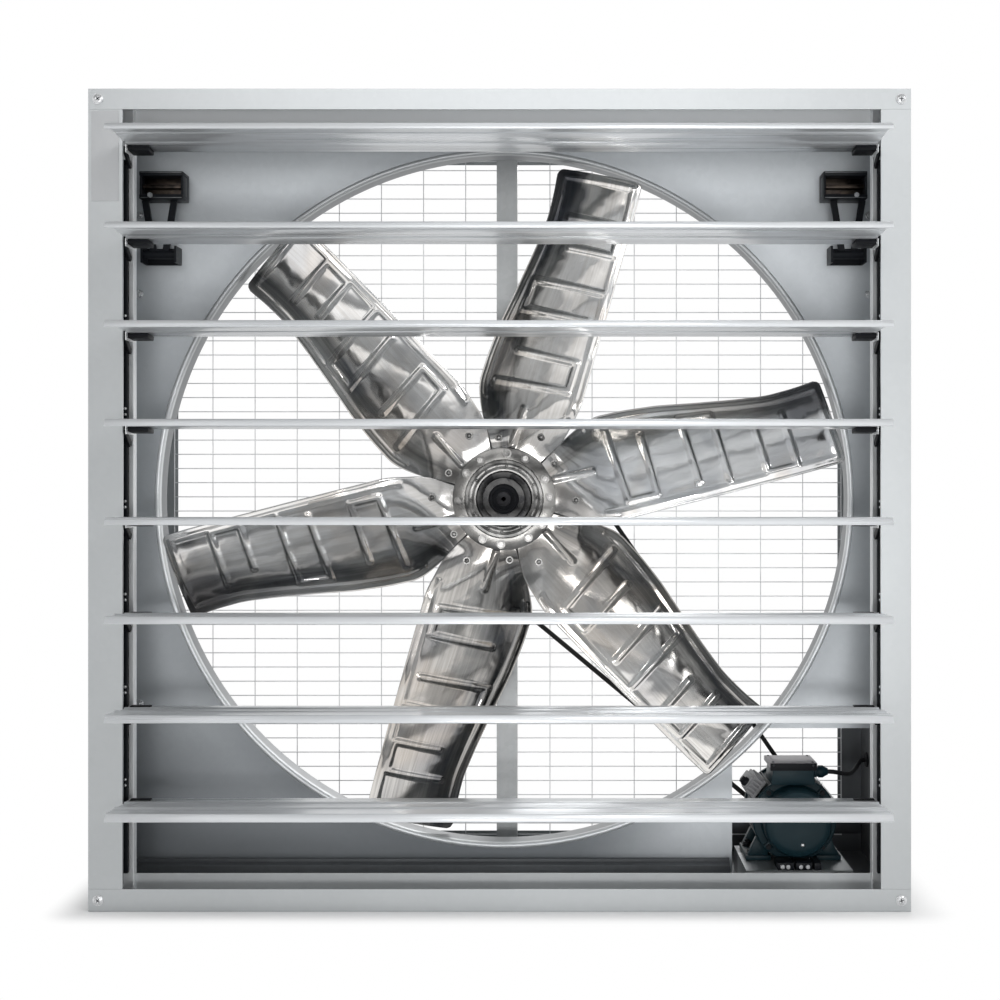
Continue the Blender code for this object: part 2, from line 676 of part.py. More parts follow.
def make_crank(side):
    """The flat arm outside the strip, and the two pins that join it to the bracket and the rod."""
    length = hypot(CRANK_REACH, CRANK_DROP)
    along = Vector((0, CRANK_REACH, -CRANK_DROP)) / length
    across = Vector((0, CRANK_DROP, CRANK_REACH)) / length * CRANK_ARM_HALF_WIDTH
    start = Vector((side * CRANK_ARM_OUTER, 0, 0)) - along * CRANK_ARM_END
    end = start + along * (length + 2 * CRANK_ARM_END)
    outline = [start - across, end - across, end + across, start + across]
    arm = prism("arm", outline, (-side * CRANK_ARM_THICKNESS, 0, 0))
    arm_middle = CRANK_ARM_OUTER - CRANK_ARM_THICKNESS / 2
    pins = []
    for inner, outer, y, z in ((LOUVRE_LENGTH / 2 - CRANK_ARM_THICKNESS, arm_middle, 0, 0),
                               (arm_middle, ROD_OUTER, CRANK_REACH, -CRANK_DROP)):
        ends = sorted((side * inner, side * outer))
        pins.append(rod("pin", HINGE_PIN_RADIUS, ends[0], ends[1], PIN_STEPS, axis="X", at=(0, y, z)))
    return [arm] + pins


def make_louvre_master():
    """One louvre about its hinge: the blade, its two end brackets, cranks and pins."""
    half = LOUVRE_LENGTH / 2
    maker = bmesh.new()
    line = [maker.verts.new((-half, y, z)) for y, z in louvre_section()]
    edges = [maker.edges.new((line[i], line[i + 1])) for i in range(len(line) - 1)]
    grown = bmesh.ops.extrude_edge_only(maker, edges=edges)["geom"]
    moved = [part for part in grown if isinstance(part, bmesh.types.BMVert)]
    bmesh.ops.translate(maker, verts=moved, vec=(LOUVRE_LENGTH, 0, 0))
    blade = make_object("louvre", maker)
    wall = blade.modifiers.new("wall", "SOLIDIFY")
    wall.thickness = LOUVRE_SHEET
    wall.offset = 0
    wall.use_even_offset = True
    settle(blade, "louvre_aluminium")
    tools = []
    for side in (-1, 1):
        tools += [make_end_bracket(side)] + make_crank(side)
    return fuse(blade, tools, "louvre_aluminium")


def make_louvres():
    """Eight louvres, each with its origin on its hinge line, standing open."""
    master = make_louvre_master()
    for number, height in enumerate(louvre_heights(), start=1):
        axis = make_axis(f"louvre_{number}_hinge", (SHUTTER_X, HINGE_Y, height))
        louvre = bpy.data.objects.new(f"louvre_{number}", master.data)
        bpy.context.scene.collection.objects.link(louvre)
        place(louvre, parent=axis)
    bpy.data.objects.remove(master, do_unlink=True)


def make_strip(name, side):
    """An upright angle beside the louvres, with an ear for each hinge pin."""
    inner = SHUTTER_X + side * (STRIP_INNER + STRIP_SHEET / 2)
    front = HINGE_Y + STRIP_FRONT
    back = HINGE_Y + STRIP_BACK - STRIP_SHEET / 2
    outline = [(inner, back, FLOOR_TOP), (inner, back, ROOF_BOTTOM)]
    for height in louvre_heights():
        outline += [(inner, front, height + EAR_HALF_HEIGHT),
                    (inner, HINGE_Y - EAR_REACH, height + EAR_HALF_HEIGHT),
                    (inner, HINGE_Y - EAR_REACH, height - EAR_HALF_HEIGHT),
                    (inner, front, height - EAR_HALF_HEIGHT)]
    outline.insert(2, (inner, front, ROOF_BOTTOM))
    outline.append((inner, front, FLOOR_TOP))
    wall = side * (INNER_HALF_WIDTH) - inner
    strip = folded_sheet(name, outline, [(0, [(wall, 0, 0)])], STRIP_SHEET, "galvanised")
    drills = [rod("drill", HINGE_PIN_RADIUS + PIN_CLEARANCE, inner - CUT_OVERRUN, inner + CUT_OVERRUN,
                  PIN_STEPS, axis="X", at=(0, HINGE_Y, height)) for height in louvre_heights()]
    return cut(strip, drills, "galvanised")


def link_rod_side(side):
    """One edge of the link rod from its top down, bulging round each crank pin, as (y, z)."""
    half = ROD_DEPTH / 2
    start = asin(half / ROD_BOSS_RADIUS)
    edge = [(side * half, ROD_TOP_TAIL)]
    for number in range(LOUVRE_COUNT):
        for step in range(LIP_STEPS + 1):
            angle = start + step * (pi - 2 * start) / LIP_STEPS
            edge.append((side * ROD_BOSS_RADIUS * sin(angle),
                         ROD_BOSS_RADIUS * cos(angle) - number * LOUVRE_PITCH))
    return edge + [(side * half, -(LOUVRE_COUNT - 1) * LOUVRE_PITCH - ROD_BOTTOM_TAIL)]


def make_link_rod(name, side, parent):
    """The upright rod that ties all cranks on one side, about the top crank pin."""
    ends = sorted((side * ROD_INNER, side * ROD_OUTER))
    outline = [(ends[0], y, z) for y, z in link_rod_side(1) + link_rod_side(-1)[::-1]]
    bar = prism(name, outline, (ROD_WIDTH, 0, 0))
    drills = [rod("drill", HINGE_PIN_RADIUS + PIN_CLEARANCE, ends[0] - CUT_OVERRUN, ends[1] + CUT_OVERRUN,
                  PIN_STEPS, axis="X", at=(0, 0, -number * LOUVRE_PITCH)) for number in range(LOUVRE_COUNT)]
    cut(bar, drills, "black_steel")
    return place(bar, parent=parent)


def make_shutter_rail(name, height, reach, inward):
    """The angle above or below the louvres, between the two strips."""
    left = SHUTTER_X - STRIP_INNER + FIT_GAP
    right = SHUTTER_X + STRIP_INNER - FIT_GAP
    web = HINGE_Y + SHUTTER_RAIL_SETBACK
    foot = height + inward * STRIP_SHEET / 2
    outline = [(left, web, foot), (right, web, foot),
               (right, web + SHUTTER_RAIL_FOOT, foot), (left, web + SHUTTER_RAIL_FOOT, foot)]
    return folded_sheet(name, outline, [(0, [(0, 0, inward * (reach - STRIP_SHEET / 2))])],
                        STRIP_SHEET, "galvanised")


def make_shutter():
    """The louvres with the strips, rods and rails round them."""
    make_louvres()
    make_strip("left_shutter_strip", -1)
    make_strip("right_shutter_strip", 1)
    crank_top = CASING_HEIGHT - LOUVRE_TOP_MARGIN - CRANK_DROP
    crank_axis = make_axis("top_crank_pins", (SHUTTER_X, CRANK_Y, crank_top))
    make_link_rod("left_link_rod", -1, crank_axis)
    make_link_rod("right_link_rod", 1, crank_axis)
    make_shutter_rail("shutter_top_rail", ROOF_BOTTOM, SHUTTER_TOP_RAIL_DROP - SHEET - FIT_GAP, -1)
    make_shutter_rail("shutter_bottom_rail", FLOOR_TOP, SHUTTER_BOTTOM_RAIL_RISE - FLOOR_TOP, 1)


def make_lever(name, parent):
    """A weight's lever about its pivot: a tube on a pin, and two flat arms in a V."""
    pin_half = LEVER_HALF_LENGTH + FIT_GAP + LEVER_BRACKET_SHEET
    tube = rod(name, LEVER_TUBE_RADIUS, -LEVER_HALF_LENGTH, LEVER_HALF_LENGTH, ROUND_STEPS // 2, axis="X")
    tools = [rod("pin", LEVER_PIN_RADIUS, -pin_half, pin_half, PIN_STEPS, axis="X")]
    half = LEVER_ARM_WIDTH / 2
    for side in (-1, 1):
        foot = side * LEVER_ARM_ROOT_SPREAD / 2
        head = side * LEVER_ARM_SPREAD / 2
        back = -LEVER_ARM_THICKNESS / 2
        outline = [(foot - half, back, 0), (foot + half, back, 0),
                   (head + half, back, LEVER_ARM_LENGTH), (head - half, back, LEVER_ARM_LENGTH)]
        tools.append(prism("arm", outline, (0, LEVER_ARM_THICKNESS, 0)))
    fuse(tube, tools, "black_steel")
    return place(tube, parent=parent)


def make_weight(name, parent, shift):
    """A cast channel that sits on the two arms of a lever."""
    low = LEVER_ARM_LENGTH + FIT_GAP
    high = low + WEIGHT_HEIGHT
    front = -WEIGHT_DEPTH / 2
    back = WEIGHT_DEPTH / 2
    web = back - WEIGHT_WEB
    left = shift - WEIGHT_LENGTH / 2
    outline = [(left, front, low), (left, back, low), (left, back, high), (left, front, high),
               (left, front, high - WEIGHT_FLANGE), (left, web, high - WEIGHT_FLANGE),
               (left, web, low + WEIGHT_FLANGE), (left, front, low + WEIGHT_FLANGE)]
    weight = prism(name, outline, (WEIGHT_LENGTH, 0, 0), "black_steel")
    return place(weight, parent=parent)


def make_lever_bracket(name, at):
    """The channel on the bulkhead whose two ears hold a lever's pin."""
    half = LEVER_HALF_LENGTH + FIT_GAP + LEVER_BRACKET_SHEET / 2
    back = BULKHEAD_Y - FIT_GAP - LEVER_BRACKET_SHEET / 2
    nose = at[1] - LEVER_BRACKET_NOSE
    low = at[2] - LEVER_BRACKET_HEIGHT / 2
    high = at[2] + LEVER_BRACKET_HEIGHT / 2
    outline = [(at[0] - half, back, low), (at[0] - half, back, high),
               (at[0] + half, back, high), (at[0] + half, back, low)]
    fold = (0, nose - back, 0)
    bracket = folded_sheet(name, outline, [(0, [fold]), (2, [fold])], LEVER_BRACKET_SHEET, "black_steel")
    drill = rod("drill", LEVER_PIN_RADIUS + PIN_CLEARANCE, at[0] - half - CUT_OVERRUN,
                at[0] + half + CUT_OVERRUN, PIN_STEPS, axis="X", at=(0, at[1], at[2]))
    return cut(bracket, [drill], "black_steel")


def make_weights():
    """The two balance weights behind the shutter, which swing as the louvres close."""
    for side, word in ((-1, "left"), (1, "right")):
        at = (side * (HALF_WIDTH - LEVER_SIDE_MARGIN), BULKHEAD_Y - LEVER_STANDOFF,
              CASING_HEIGHT - LEVER_DROP)
        pivot = make_axis(f"{word}_lever_pivot", at)
        make_lever(f"{word}_weight_lever", pivot)
        make_weight(f"{word}_weight", pivot, -side * WEIGHT_OFFSET)
        make_lever_bracket(f"{word}_lever_bracket", at)


def make_blade_master():
    """One propeller blade, pointing along +X from the shaft, with +Z its leading side."""
    maker = bmesh.new()
    rows = []
    for radius_share, lead_share, trail_share, pitch_share, back_share in BLADE_STATION_SHARES:
        radius = max(radius_share * TIP_RADIUS, BLADE_ROOT_RADIUS)
        root_y = DISC_Y - FIT_GAP - BLADE_SHEET / 2
        middle = root_y + back_share * (DISC_Y + BLADE_MIDLINE_OFFSET - root_y)
        slope = tan(pitch_share * BLADE_PITCH)
        low = -trail_share * BLADE_TRAIL_WIDTH
        high = lead_share * BLADE_LEAD_WIDTH
        row = []
        for step in range(BLADE_CHORD_STEPS + 1):
            share = step / BLADE_CHORD_STEPS
            across = low + share * (high - low)
            bow = pitch_share * BLADE_CAMBER * (1 - (2 * share - 1) ** 2)
            row.append(maker.verts.new((radius, middle + across * slope - bow, across)))
        rows.append(row)
    for near, far in zip(rows, rows[1:]):
        for step in range(BLADE_CHORD_STEPS):
            maker.faces.new((near[step], far[step], far[step + 1], near[step + 1]))
    blade = make_object("blade", maker)
    wall = blade.modifiers.new("wall", "SOLIDIFY")
    wall.thickness = BLADE_SHEET
    wall.offset = 0
    wall.use_even_offset = False
    return settle(blade, "blade_steel")


def make_propeller(shaft):
    """Six blades on the front face of the hub's disc."""
    master = make_blade_master()
    for number in range(BLADE_COUNT):
        angle = FIRST_BLADE_ANGLE + number * 2 * pi / BLADE_COUNT
        blade = bpy.data.objects.new(f"fan_blade_{number + 1}", master.data)
        bpy.context.scene.collection.objects.link(blade)
        place(blade, turn=-angle, parent=shaft)
    bpy.data.objects.remove(master, do_unlink=True)


def grooved_rim(radius, middle, half_width):
    """The outer side of a V-belt pulley, from front to back."""
    floor = radius - GROOVE_DEPTH
    return [(radius, middle - half_width), (radius, middle - GROOVE_HALF_TOP),
            (floor, middle - GROOVE_HALF_BOTTOM), (floor, middle + GROOVE_HALF_BOTTOM),
            (radius, middle + GROOVE_HALF_TOP), (radius, middle + half_width)]


def make_hub(shaft):
    """The hub, its two bearings and the driven pulley behind it."""
    bore = BEARING_RADIUS + FIT_GAP
    profile = [(bore, HUB_FRONT_Y), (HUB_NOSE_RADIUS, HUB_FRONT_Y),
               (HUB_NOSE_RADIUS, DISC_Y - HUB_STEP_HEIGHT), (HUB_STEP_RADIUS, DISC_Y - HUB_STEP_HEIGHT),
               (HUB_STEP_RADIUS, DISC_Y), (HUB_DISC_RADIUS, DISC_Y),
               (HUB_DISC_RADIUS, DISC_Y + HUB_DISC_THICKNESS),
               (HUB_BARREL_RADIUS, DISC_Y + HUB_DISC_THICKNESS),
               (HUB_BARREL_RADIUS, HUB_REAR_Y), (bore, HUB_REAR_Y)]
    place(turned("fan_hub", profile, PULLEY_STEPS, finish="hub_steel"), parent=shaft)
    race = AXLE_RADIUS + FIT_GAP
    for name, start in (("front_bearing", HUB_FRONT_Y + BEARING_INSET),
                        ("rear_bearing", HUB_REAR_Y - BEARING_INSET - BEARING_WIDTH)):
        profile = [(race, start), (BEARING_RADIUS, start),
                   (BEARING_RADIUS, start + BEARING_WIDTH), (race, start + BEARING_WIDTH)]
        place(turned(name, profile, ROUND_STEPS, finish="black_steel"), parent=shaft)
    bore = AXLE_SHOULDER_RADIUS + PULLEY_BORE_CLEARANCE
    rim = PULLEY_RADIUS - PULLEY_RIM
    half = PULLEY_WIDTH / 2
    profile = [(bore, PULLEY_FRONT_Y), (PULLEY_BOSS_RADIUS, PULLEY_FRONT_Y),
               (PULLEY_BOSS_RADIUS, BELT_Y - PULLEY_WEB / 2), (rim, BELT_Y - PULLEY_WEB / 2),
               (rim, BELT_Y - half)]
    profile += grooved_rim(PULLEY_RADIUS, BELT_Y, half)
    profile += [(rim, BELT_Y + half), (rim, BELT_Y + PULLEY_WEB / 2), (bore, BELT_Y + PULLEY_WEB / 2)]
    place(turned("driven_pulley", profile, PULLEY_STEPS, finish="cast_iron"), parent=shaft)


def make_axle():
    """The fixed axle through the post, with its nut behind."""
    shoulder = BELT_Y + PULLEY_WIDTH / 2 + FIT_GAP
    tip = HUB_FRONT_Y - AXLE_TIP
    end = POST_FRONT_Y + POST_SHEET + AXLE_THREAD
    race_back = HUB_REAR_Y + FIT_GAP
    profile = [(0, tip + AXLE_CENTRE_DEPTH), (AXLE_CENTRE_RADIUS, tip), (AXLE_RADIUS, tip),
               (AXLE_RADIUS, race_back), (AXLE_SHOULDER_RADIUS, race_back),
               (AXLE_SHOULDER_RADIUS, max(shoulder, POST_FRONT_Y - FIT_GAP)),
               (AXLE_RADIUS, max(shoulder, POST_FRONT_Y - FIT_GAP)), (AXLE_RADIUS, end), (0, end)]
    turned("fan_axle", profile, ROUND_STEPS, at=(0, 0, SHAFT_HEIGHT), finish="axle_steel")
    start = POST_FRONT_Y + POST_SHEET + FIT_GAP
    bore = AXLE_RADIUS + FIT_GAP
    nut = rod("axle_nut", NUT_RADIUS, start, start + NUT_THICKNESS, 6, at=(0, 0, SHAFT_HEIGHT))
    hole = rod("hole", bore, start - CUT_OVERRUN, start + NUT_THICKNESS + CUT_OVERRUN, ROUND_STEPS,
               at=(0, 0, SHAFT_HEIGHT))
    cut(nut, [hole], "zinc_steel")


def belt_path(sink):
    """The open belt's path round both pulleys, this far under their rims, as (x, z)."""
    big = PULLEY_RADIUS - sink
    small = MOTOR_PULLEY_RADIUS - sink
    across = MOTOR_X
    down = MOTOR_HEIGHT - SHAFT_HEIGHT
    toward = atan2(down, across)
    wrap = acos((big - small) / hypot(across, down))
    path = []
    for step in range(PULLEY_STEPS + 1):
        angle = toward + wrap + step * (2 * pi - 2 * wrap) / PULLEY_STEPS
        path.append((big * cos(angle), SHAFT_HEIGHT + big * sin(angle)))
    for step in range(BELT_SMALL_STEPS + 1):
        angle = toward - wrap + step * 2 * wrap / BELT_SMALL_STEPS
        path.append((MOTOR_X + small * cos(angle), MOTOR_HEIGHT + small * sin(angle)))
    return path


def make_belt():
    """The V-belt, a closed loop that narrows towards the pulleys."""
    maker = bmesh.new()
    loops = []
    for sink, half in ((BELT_SINK, -BELT_HALF_TOP), (BELT_SINK, BELT_HALF_TOP),
                       (BELT_SINK + BELT_THICKNESS, BELT_HALF_BOTTOM),
                       (BELT_SINK + BELT_THICKNESS, -BELT_HALF_BOTTOM)):
        loops.append([maker.verts.new((x, BELT_Y + half, z)) for x, z in belt_path(sink)])
    count = len(loops[0])
    for near, far in zip(loops, loops[1:] + loops[:1]):
        for step in range(count):
            follow = (step + 1) % count
            maker.faces.new((near[step], near[follow], far[follow], far[step]))
    make_object("drive_belt", maker, "belt_rubber")


def make_motor_shells():
    """The motor's housing with its feet, and the shields at both ends."""
    inner = MOTOR_RADIUS - MOTOR_WALL
    centre = (MOTOR_X, 0, MOTOR_HEIGHT)
    housing = rod("motor_housing", MOTOR_RADIUS, HOUSING_Y, HOUSING_BACK_Y, ROUND_STEPS, at=centre)
    foot_low = BASE_HEIGHT + FIT_GAP
    front = HOUSING_Y + FOOT_INSET
    back = HOUSING_BACK_Y - FOOT_INSET
    feet = box("feet", (MOTOR_X - FOOT_WIDTH / 2, front, foot_low),
               (MOTOR_X + FOOT_WIDTH / 2, back, foot_low + FOOT_HEIGHT))
    fuse(housing, [feet], "motor_paint")
    bore = rod("bore", inner, HOUSING_Y - CUT_OVERRUN, HOUSING_BACK_Y + CUT_OVERRUN, ROUND_STEPS, at=centre)
    cut(housing, [bore], "motor_paint")
    start = MOTOR_FRONT_Y
    neck = start + MOTOR_CAP_DEPTH
    rim = neck + MOTOR_RIM_WIDTH
    cap = MOTOR_CAP_RADIUS
    wall = MOTOR_WALL
    profile = [(0, start), (cap - 2 * wall, start), (cap - wall / 2, start + wall), (cap, start + 2 * wall),
               (cap, neck - wall), (MOTOR_RADIUS, neck), (MOTOR_RADIUS, rim), (inner, rim),
               (cap - wall, neck), (cap - wall, start + 2 * wall), (cap - 2 * wall, start + wall),
               (0, start + wall)]
    turned("motor_front_shield", profile, ROUND_STEPS, at=centre, finish="motor_paint")
    start = HOUSING_BACK_Y + FIT_GAP
    end = start + MOTOR_REAR_SHIELD_DEPTH
    hole = MOTOR_SHAFT_RADIUS + FIT_GAP
    profile = [(hole, start), (MOTOR_RADIUS, start), (MOTOR_RADIUS, start + MOTOR_RIM_WIDTH),
               (MOTOR_REAR_NOSE_RADIUS, end - wall), (MOTOR_REAR_NOSE_RADIUS, end), (hole, end)]
    turned("motor_rear_shield", profile, ROUND_STEPS, at=centre, finish="motor_paint")


def make_motor_inside():
    """The stator in the housing, and the turning shaft with its rotor core and pulley."""
    centre = (MOTOR_X, 0, MOTOR_HEIGHT)
    start = HOUSING_Y + STATOR_INSET
    end = HOUSING_BACK_Y - STATOR_INSET
    outer = MOTOR_RADIUS - MOTOR_WALL - FIT_GAP
    profile = [(STATOR_BORE_RADIUS, start), (outer, start), (outer, end), (STATOR_BORE_RADIUS, end)]
    turned("motor_stator", profile, ROUND_STEPS, at=centre, finish="winding_copper")
    axis = make_axis("motor_axis", centre)
    core = STATOR_BORE_RADIUS - MOTOR_AIR_GAP
    half = PULLEY_WIDTH / 2
    front = MOTOR_FRONT_Y + MOTOR_WALL + FIT_GAP
    tip = BELT_Y + half + MOTOR_SHAFT_TIP
    profile = [(0, front), (MOTOR_SHAFT_RADIUS, front), (MOTOR_SHAFT_RADIUS, start), (core, start),
               (core, end), (MOTOR_SHAFT_RADIUS, end), (MOTOR_SHAFT_RADIUS, tip), (0, tip)]
    place(turned("motor_shaft", profile, ROUND_STEPS, finish="axle_steel"), parent=axis)
    hole = MOTOR_SHAFT_RADIUS + FIT_GAP
    profile = [(hole, BELT_Y - half)] + grooved_rim(MOTOR_PULLEY_RADIUS, BELT_Y, half)
    profile.append((hole, BELT_Y + half))
    place(turned("motor_pulley", profile, ROUND_STEPS, finish="cast_iron"), parent=axis)


def make_motor_base():
    """The galvanised channel that lifts the motor off the casing's floor."""
    half = BASE_WIDTH / 2 - BASE_SHEET / 2
    top = BASE_HEIGHT - BASE_SHEET / 2
    front = MOTOR_FRONT_Y - BASE_FRONT_OVERHANG
    back = front + BASE_LENGTH
    outline = [(MOTOR_X - half, front, top), (MOTOR_X - half, back, top),
               (MOTOR_X + half, back, top), (MOTOR_X + half, front, top)]
    fold = (0, 0, FLOOR_TOP - top)
    folded_sheet("motor_base", outline, [(0, [fold]), (2, [fold])], BASE_SHEET, "galvanised")


def make_terminal_box():
    """The connection box on top of the motor, and its lid."""
    left = TERMINAL_X - TERMINAL_WIDTH / 2
    right = TERMINAL_X + TERMINAL_WIDTH / 2
    back = TERMINAL_Y + TERMINAL_LENGTH
    low = MOTOR_HEIGHT + MOTOR_RADIUS - TERMINAL_SINK
    case = box("terminal_box", (left, TERMINAL_Y, low), (right, back, TERMINAL_TOP))
    centre = (MOTOR_X, 0, MOTOR_HEIGHT)
    barrel = rod("barrel", MOTOR_RADIUS + FIT_GAP, TERMINAL_Y - CUT_OVERRUN, back + CUT_OVERRUN,
                 ROUND_STEPS * 2, at=centre)
    floor = low + TERMINAL_SINK + TERMINAL_WALL
    room = box("room", (left + TERMINAL_WALL, TERMINAL_Y + TERMINAL_WALL, floor),
               (right - TERMINAL_WALL, back - TERMINAL_WALL, TERMINAL_TOP + CUT_OVERRUN))
    cut(case, [barrel, room], "motor_paint")
    lip = TERMINAL_LID_LIP
    box("terminal_lid", (left - lip, TERMINAL_Y - lip, TERMINAL_TOP + FIT_GAP),
        (right + lip, back + lip, TERMINAL_TOP + FIT_GAP + TERMINAL_LID), "lid_grey")


def make_saddle_block(name, turn, start, length, width, height, finish):
    """A block that sits on the motor's barrel, turned about the motor's axis."""
    block = box(name, (-width / 2, start, MOTOR_RADIUS - MOTOR_WALL),
                (width / 2, start + length, MOTOR_RADIUS + height))
    barrel = rod("barrel", MOTOR_RADIUS + FIT_GAP, start - CUT_OVERRUN, start + length + CUT_OVERRUN,
                 ROUND_STEPS * 2)
    cut(block, [barrel], finish)
    return place(block, at=(MOTOR_X, 0, MOTOR_HEIGHT), turn=turn)


def make_motor_blocks():
    """The capacitor's cover and the bare rating plate on the motor's shoulders."""
    start = MOTOR_FRONT_Y + CAPACITOR_SETBACK
    make_saddle_block("capacitor_cover", -SHOULDER_ANGLE, start, CAPACITOR_LENGTH, CAPACITOR_WIDTH,
                      CAPACITOR_HEIGHT, "lid_grey")
    make_saddle_block("rating_plate", SHOULDER_ANGLE, start, RATING_PLATE_LENGTH, RATING_PLATE_WIDTH,
                      RATING_PLATE_HEIGHT, "zinc_steel")


def lead_points():
    """The lead's route from the gland to the grommet, read from a smooth curve."""
    start = Vector((GLAND_TIP_X - GLAND_NECK_LENGTH, GLAND_Y, GLAND_HEIGHT))
    end = Vector((HALF_WIDTH - SHEET - GROMMET_FLANGE, GROMMET_Y, GROMMET_HEIGHT))
    run = end - start
    stops = [start + Vector((x * run.x, y * run.y, z * run.z - sag * run.length))
             for x, y, z, sag in LEAD_RUN_SHARES]
    stops = [2 * stops[0] - stops[1]] + stops + [2 * stops[-1] - stops[-2]]
    points = []
    for before, near, far, after in zip(stops, stops[1:], stops[2:], stops[3:]):
        for step in range(LEAD_POINTS_PER_SPAN):
            t = step / LEAD_POINTS_PER_SPAN
            points.append(0.5 * (2 * near + (far - before) * t
                                 + (2 * before - 5 * near + 4 * far - after) * t ** 2
                                 + (3 * near - before - 3 * far + after) * t ** 3))
    return points + [end]


def make_wiring():
    """The cable gland, the lead and the wall grommet that it goes into."""
    bore = LEAD_DIAMETER / 2 + LEAD_CLEARANCE
    nut_end = GLAND_LENGTH
    tip = nut_end + GLAND_NECK_LENGTH
    profile = [(0, 0), (GLAND_RADIUS, 0), (GLAND_RADIUS, nut_end), (GLAND_NECK_RADIUS, tip), (bore, tip),
               (bore, nut_end - FIT_GAP), (0, nut_end - FIT_GAP)]
    turned("cable_gland", profile, SMALL_STEPS, axis="X", at=(GLAND_X, GLAND_Y, GLAND_HEIGHT),
           finish="black_plastic")
    inner_face = HALF_WIDTH - SHEET - FIT_GAP
    mouth = inner_face - GROMMET_FLANGE
    outer_face = HALF_WIDTH + FIT_GAP
    bottom = mouth + GROMMET_POCKET
    profile = [(0, bottom), (bore, bottom), (bore, mouth), (GROMMET_RADIUS, mouth),
               (GROMMET_RADIUS, inner_face), (GROMMET_NECK_RADIUS, inner_face),
               (GROMMET_NECK_RADIUS, HALF_WIDTH - FIT_GAP), (0, HALF_WIDTH - FIT_GAP)]
    turned("wall_grommet", profile, SMALL_STEPS, axis="X", at=(0, GROMMET_Y, GROMMET_HEIGHT),
           finish="black_plastic")
    curve = bpy.data.curves.new("motor_lead", "CURVE")
    curve.dimensions = "3D"
    spline = curve.splines.new("POLY")
    points = lead_points()
    spline.points.add(len(points) - 1)
    for knot, point in zip(spline.points, points):
        knot.co = (*point, 1)
    curve.bevel_depth = LEAD_DIAMETER / 2
    curve.bevel_resolution = 2
    curve.use_fill_caps = True
    curve.materials.append(make_finish("black_plastic"))
    lead = bpy.data.objects.new("motor_lead", curve)
    bpy.context.scene.collection.objects.link(lead)


def make_fan():
    """The whole exhaust fan."""
    clear_scene()
    make_casing()
    make_bulkhead()
    make_ring()
    make_guard()
    make_post()
    make_shutter()
    make_weights()
    shaft = make_axis("shaft_axis", (0, 0, SHAFT_HEIGHT))
    make_propeller(shaft)
    make_hub(shaft)
    make_axle()
    make_belt()
    make_motor_shells()
    make_motor_inside()
    make_motor_base()
    make_terminal_box()
    make_motor_blocks()
    make_wiring()


make_fan()
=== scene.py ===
# %% [markdown]
# A belt-driven exhaust fan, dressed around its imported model. The frame holds every piece of the fan at
# its real size and place, in metres, with +Z up, the shutter towards -Y and the wire guard towards +Y.
# We load it first, because each new surface takes its place from the piece that it stands for.

# %% Load the frame
import json
from math import atan2, cos, exp, hypot, pi, radians, sin, tan

import bmesh
import bpy
from mathutils import Matrix, Vector


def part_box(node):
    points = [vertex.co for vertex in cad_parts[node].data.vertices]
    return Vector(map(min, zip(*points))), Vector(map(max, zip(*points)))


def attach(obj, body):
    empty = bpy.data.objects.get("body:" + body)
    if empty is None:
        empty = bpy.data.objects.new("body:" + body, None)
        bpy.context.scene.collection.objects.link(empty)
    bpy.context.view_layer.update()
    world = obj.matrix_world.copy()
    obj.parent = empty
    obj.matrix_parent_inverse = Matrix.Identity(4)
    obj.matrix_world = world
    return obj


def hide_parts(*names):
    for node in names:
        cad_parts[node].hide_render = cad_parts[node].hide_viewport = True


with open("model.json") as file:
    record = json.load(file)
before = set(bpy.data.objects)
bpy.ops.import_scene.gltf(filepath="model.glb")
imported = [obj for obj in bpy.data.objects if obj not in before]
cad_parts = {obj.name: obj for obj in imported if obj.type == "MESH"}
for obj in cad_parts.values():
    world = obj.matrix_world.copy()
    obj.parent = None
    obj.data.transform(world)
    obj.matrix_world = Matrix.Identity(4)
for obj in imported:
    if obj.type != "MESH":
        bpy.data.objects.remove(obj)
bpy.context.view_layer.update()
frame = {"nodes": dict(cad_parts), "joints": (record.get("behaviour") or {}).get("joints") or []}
nodes = frame["nodes"]
print("pieces in the frame:", len(nodes))

# %% [markdown]
# The camera stands about 2.5 m in front of the shutter, a hand's width to the right of the fan's middle
# and a little above it, and looks straight along +Y. The fan isn't in the middle of the photograph, so
# the lens is shifted and not turned, which keeps the casing's sides upright.

# %% Camera
FRAME_SIDE = 1000
FOCAL_PIXELS = 1470.7
AXIS_PIXEL = (558.7, 484.0)
SENSOR = 36.0
CAMERA_PLACE = (0.099, -2.666, 0.717)


def show(name, data):
    """Put an object in the scene, at the origin."""
    piece = bpy.data.objects.new(name, data)
    bpy.context.scene.collection.objects.link(piece)
    return piece


lens = bpy.data.cameras.new("camera")
lens.sensor_width = SENSOR
lens.lens = FOCAL_PIXELS / FRAME_SIDE * SENSOR
lens.shift_x = 0.5 - AXIS_PIXEL[0] / FRAME_SIDE
lens.shift_y = AXIS_PIXEL[1] / FRAME_SIDE - 0.5
camera = show("camera", lens)
camera.location = CAMERA_PLACE
camera.rotation_euler = (pi / 2, 0, 0)
bpy.context.scene.camera = camera
bpy.context.scene.view_settings.view_transform = "Standard"
print("lens", round(lens.lens, 2), "mm")

# %% [markdown]
# A material is a small network of nodes. Writing its sums as node after node is long to read, so one
# class wraps a socket and overloads Python's operators: `1 - mask * 0.4` then adds its Math nodes. A
# second class has one method that adds any other node, and short names for those that we need often.

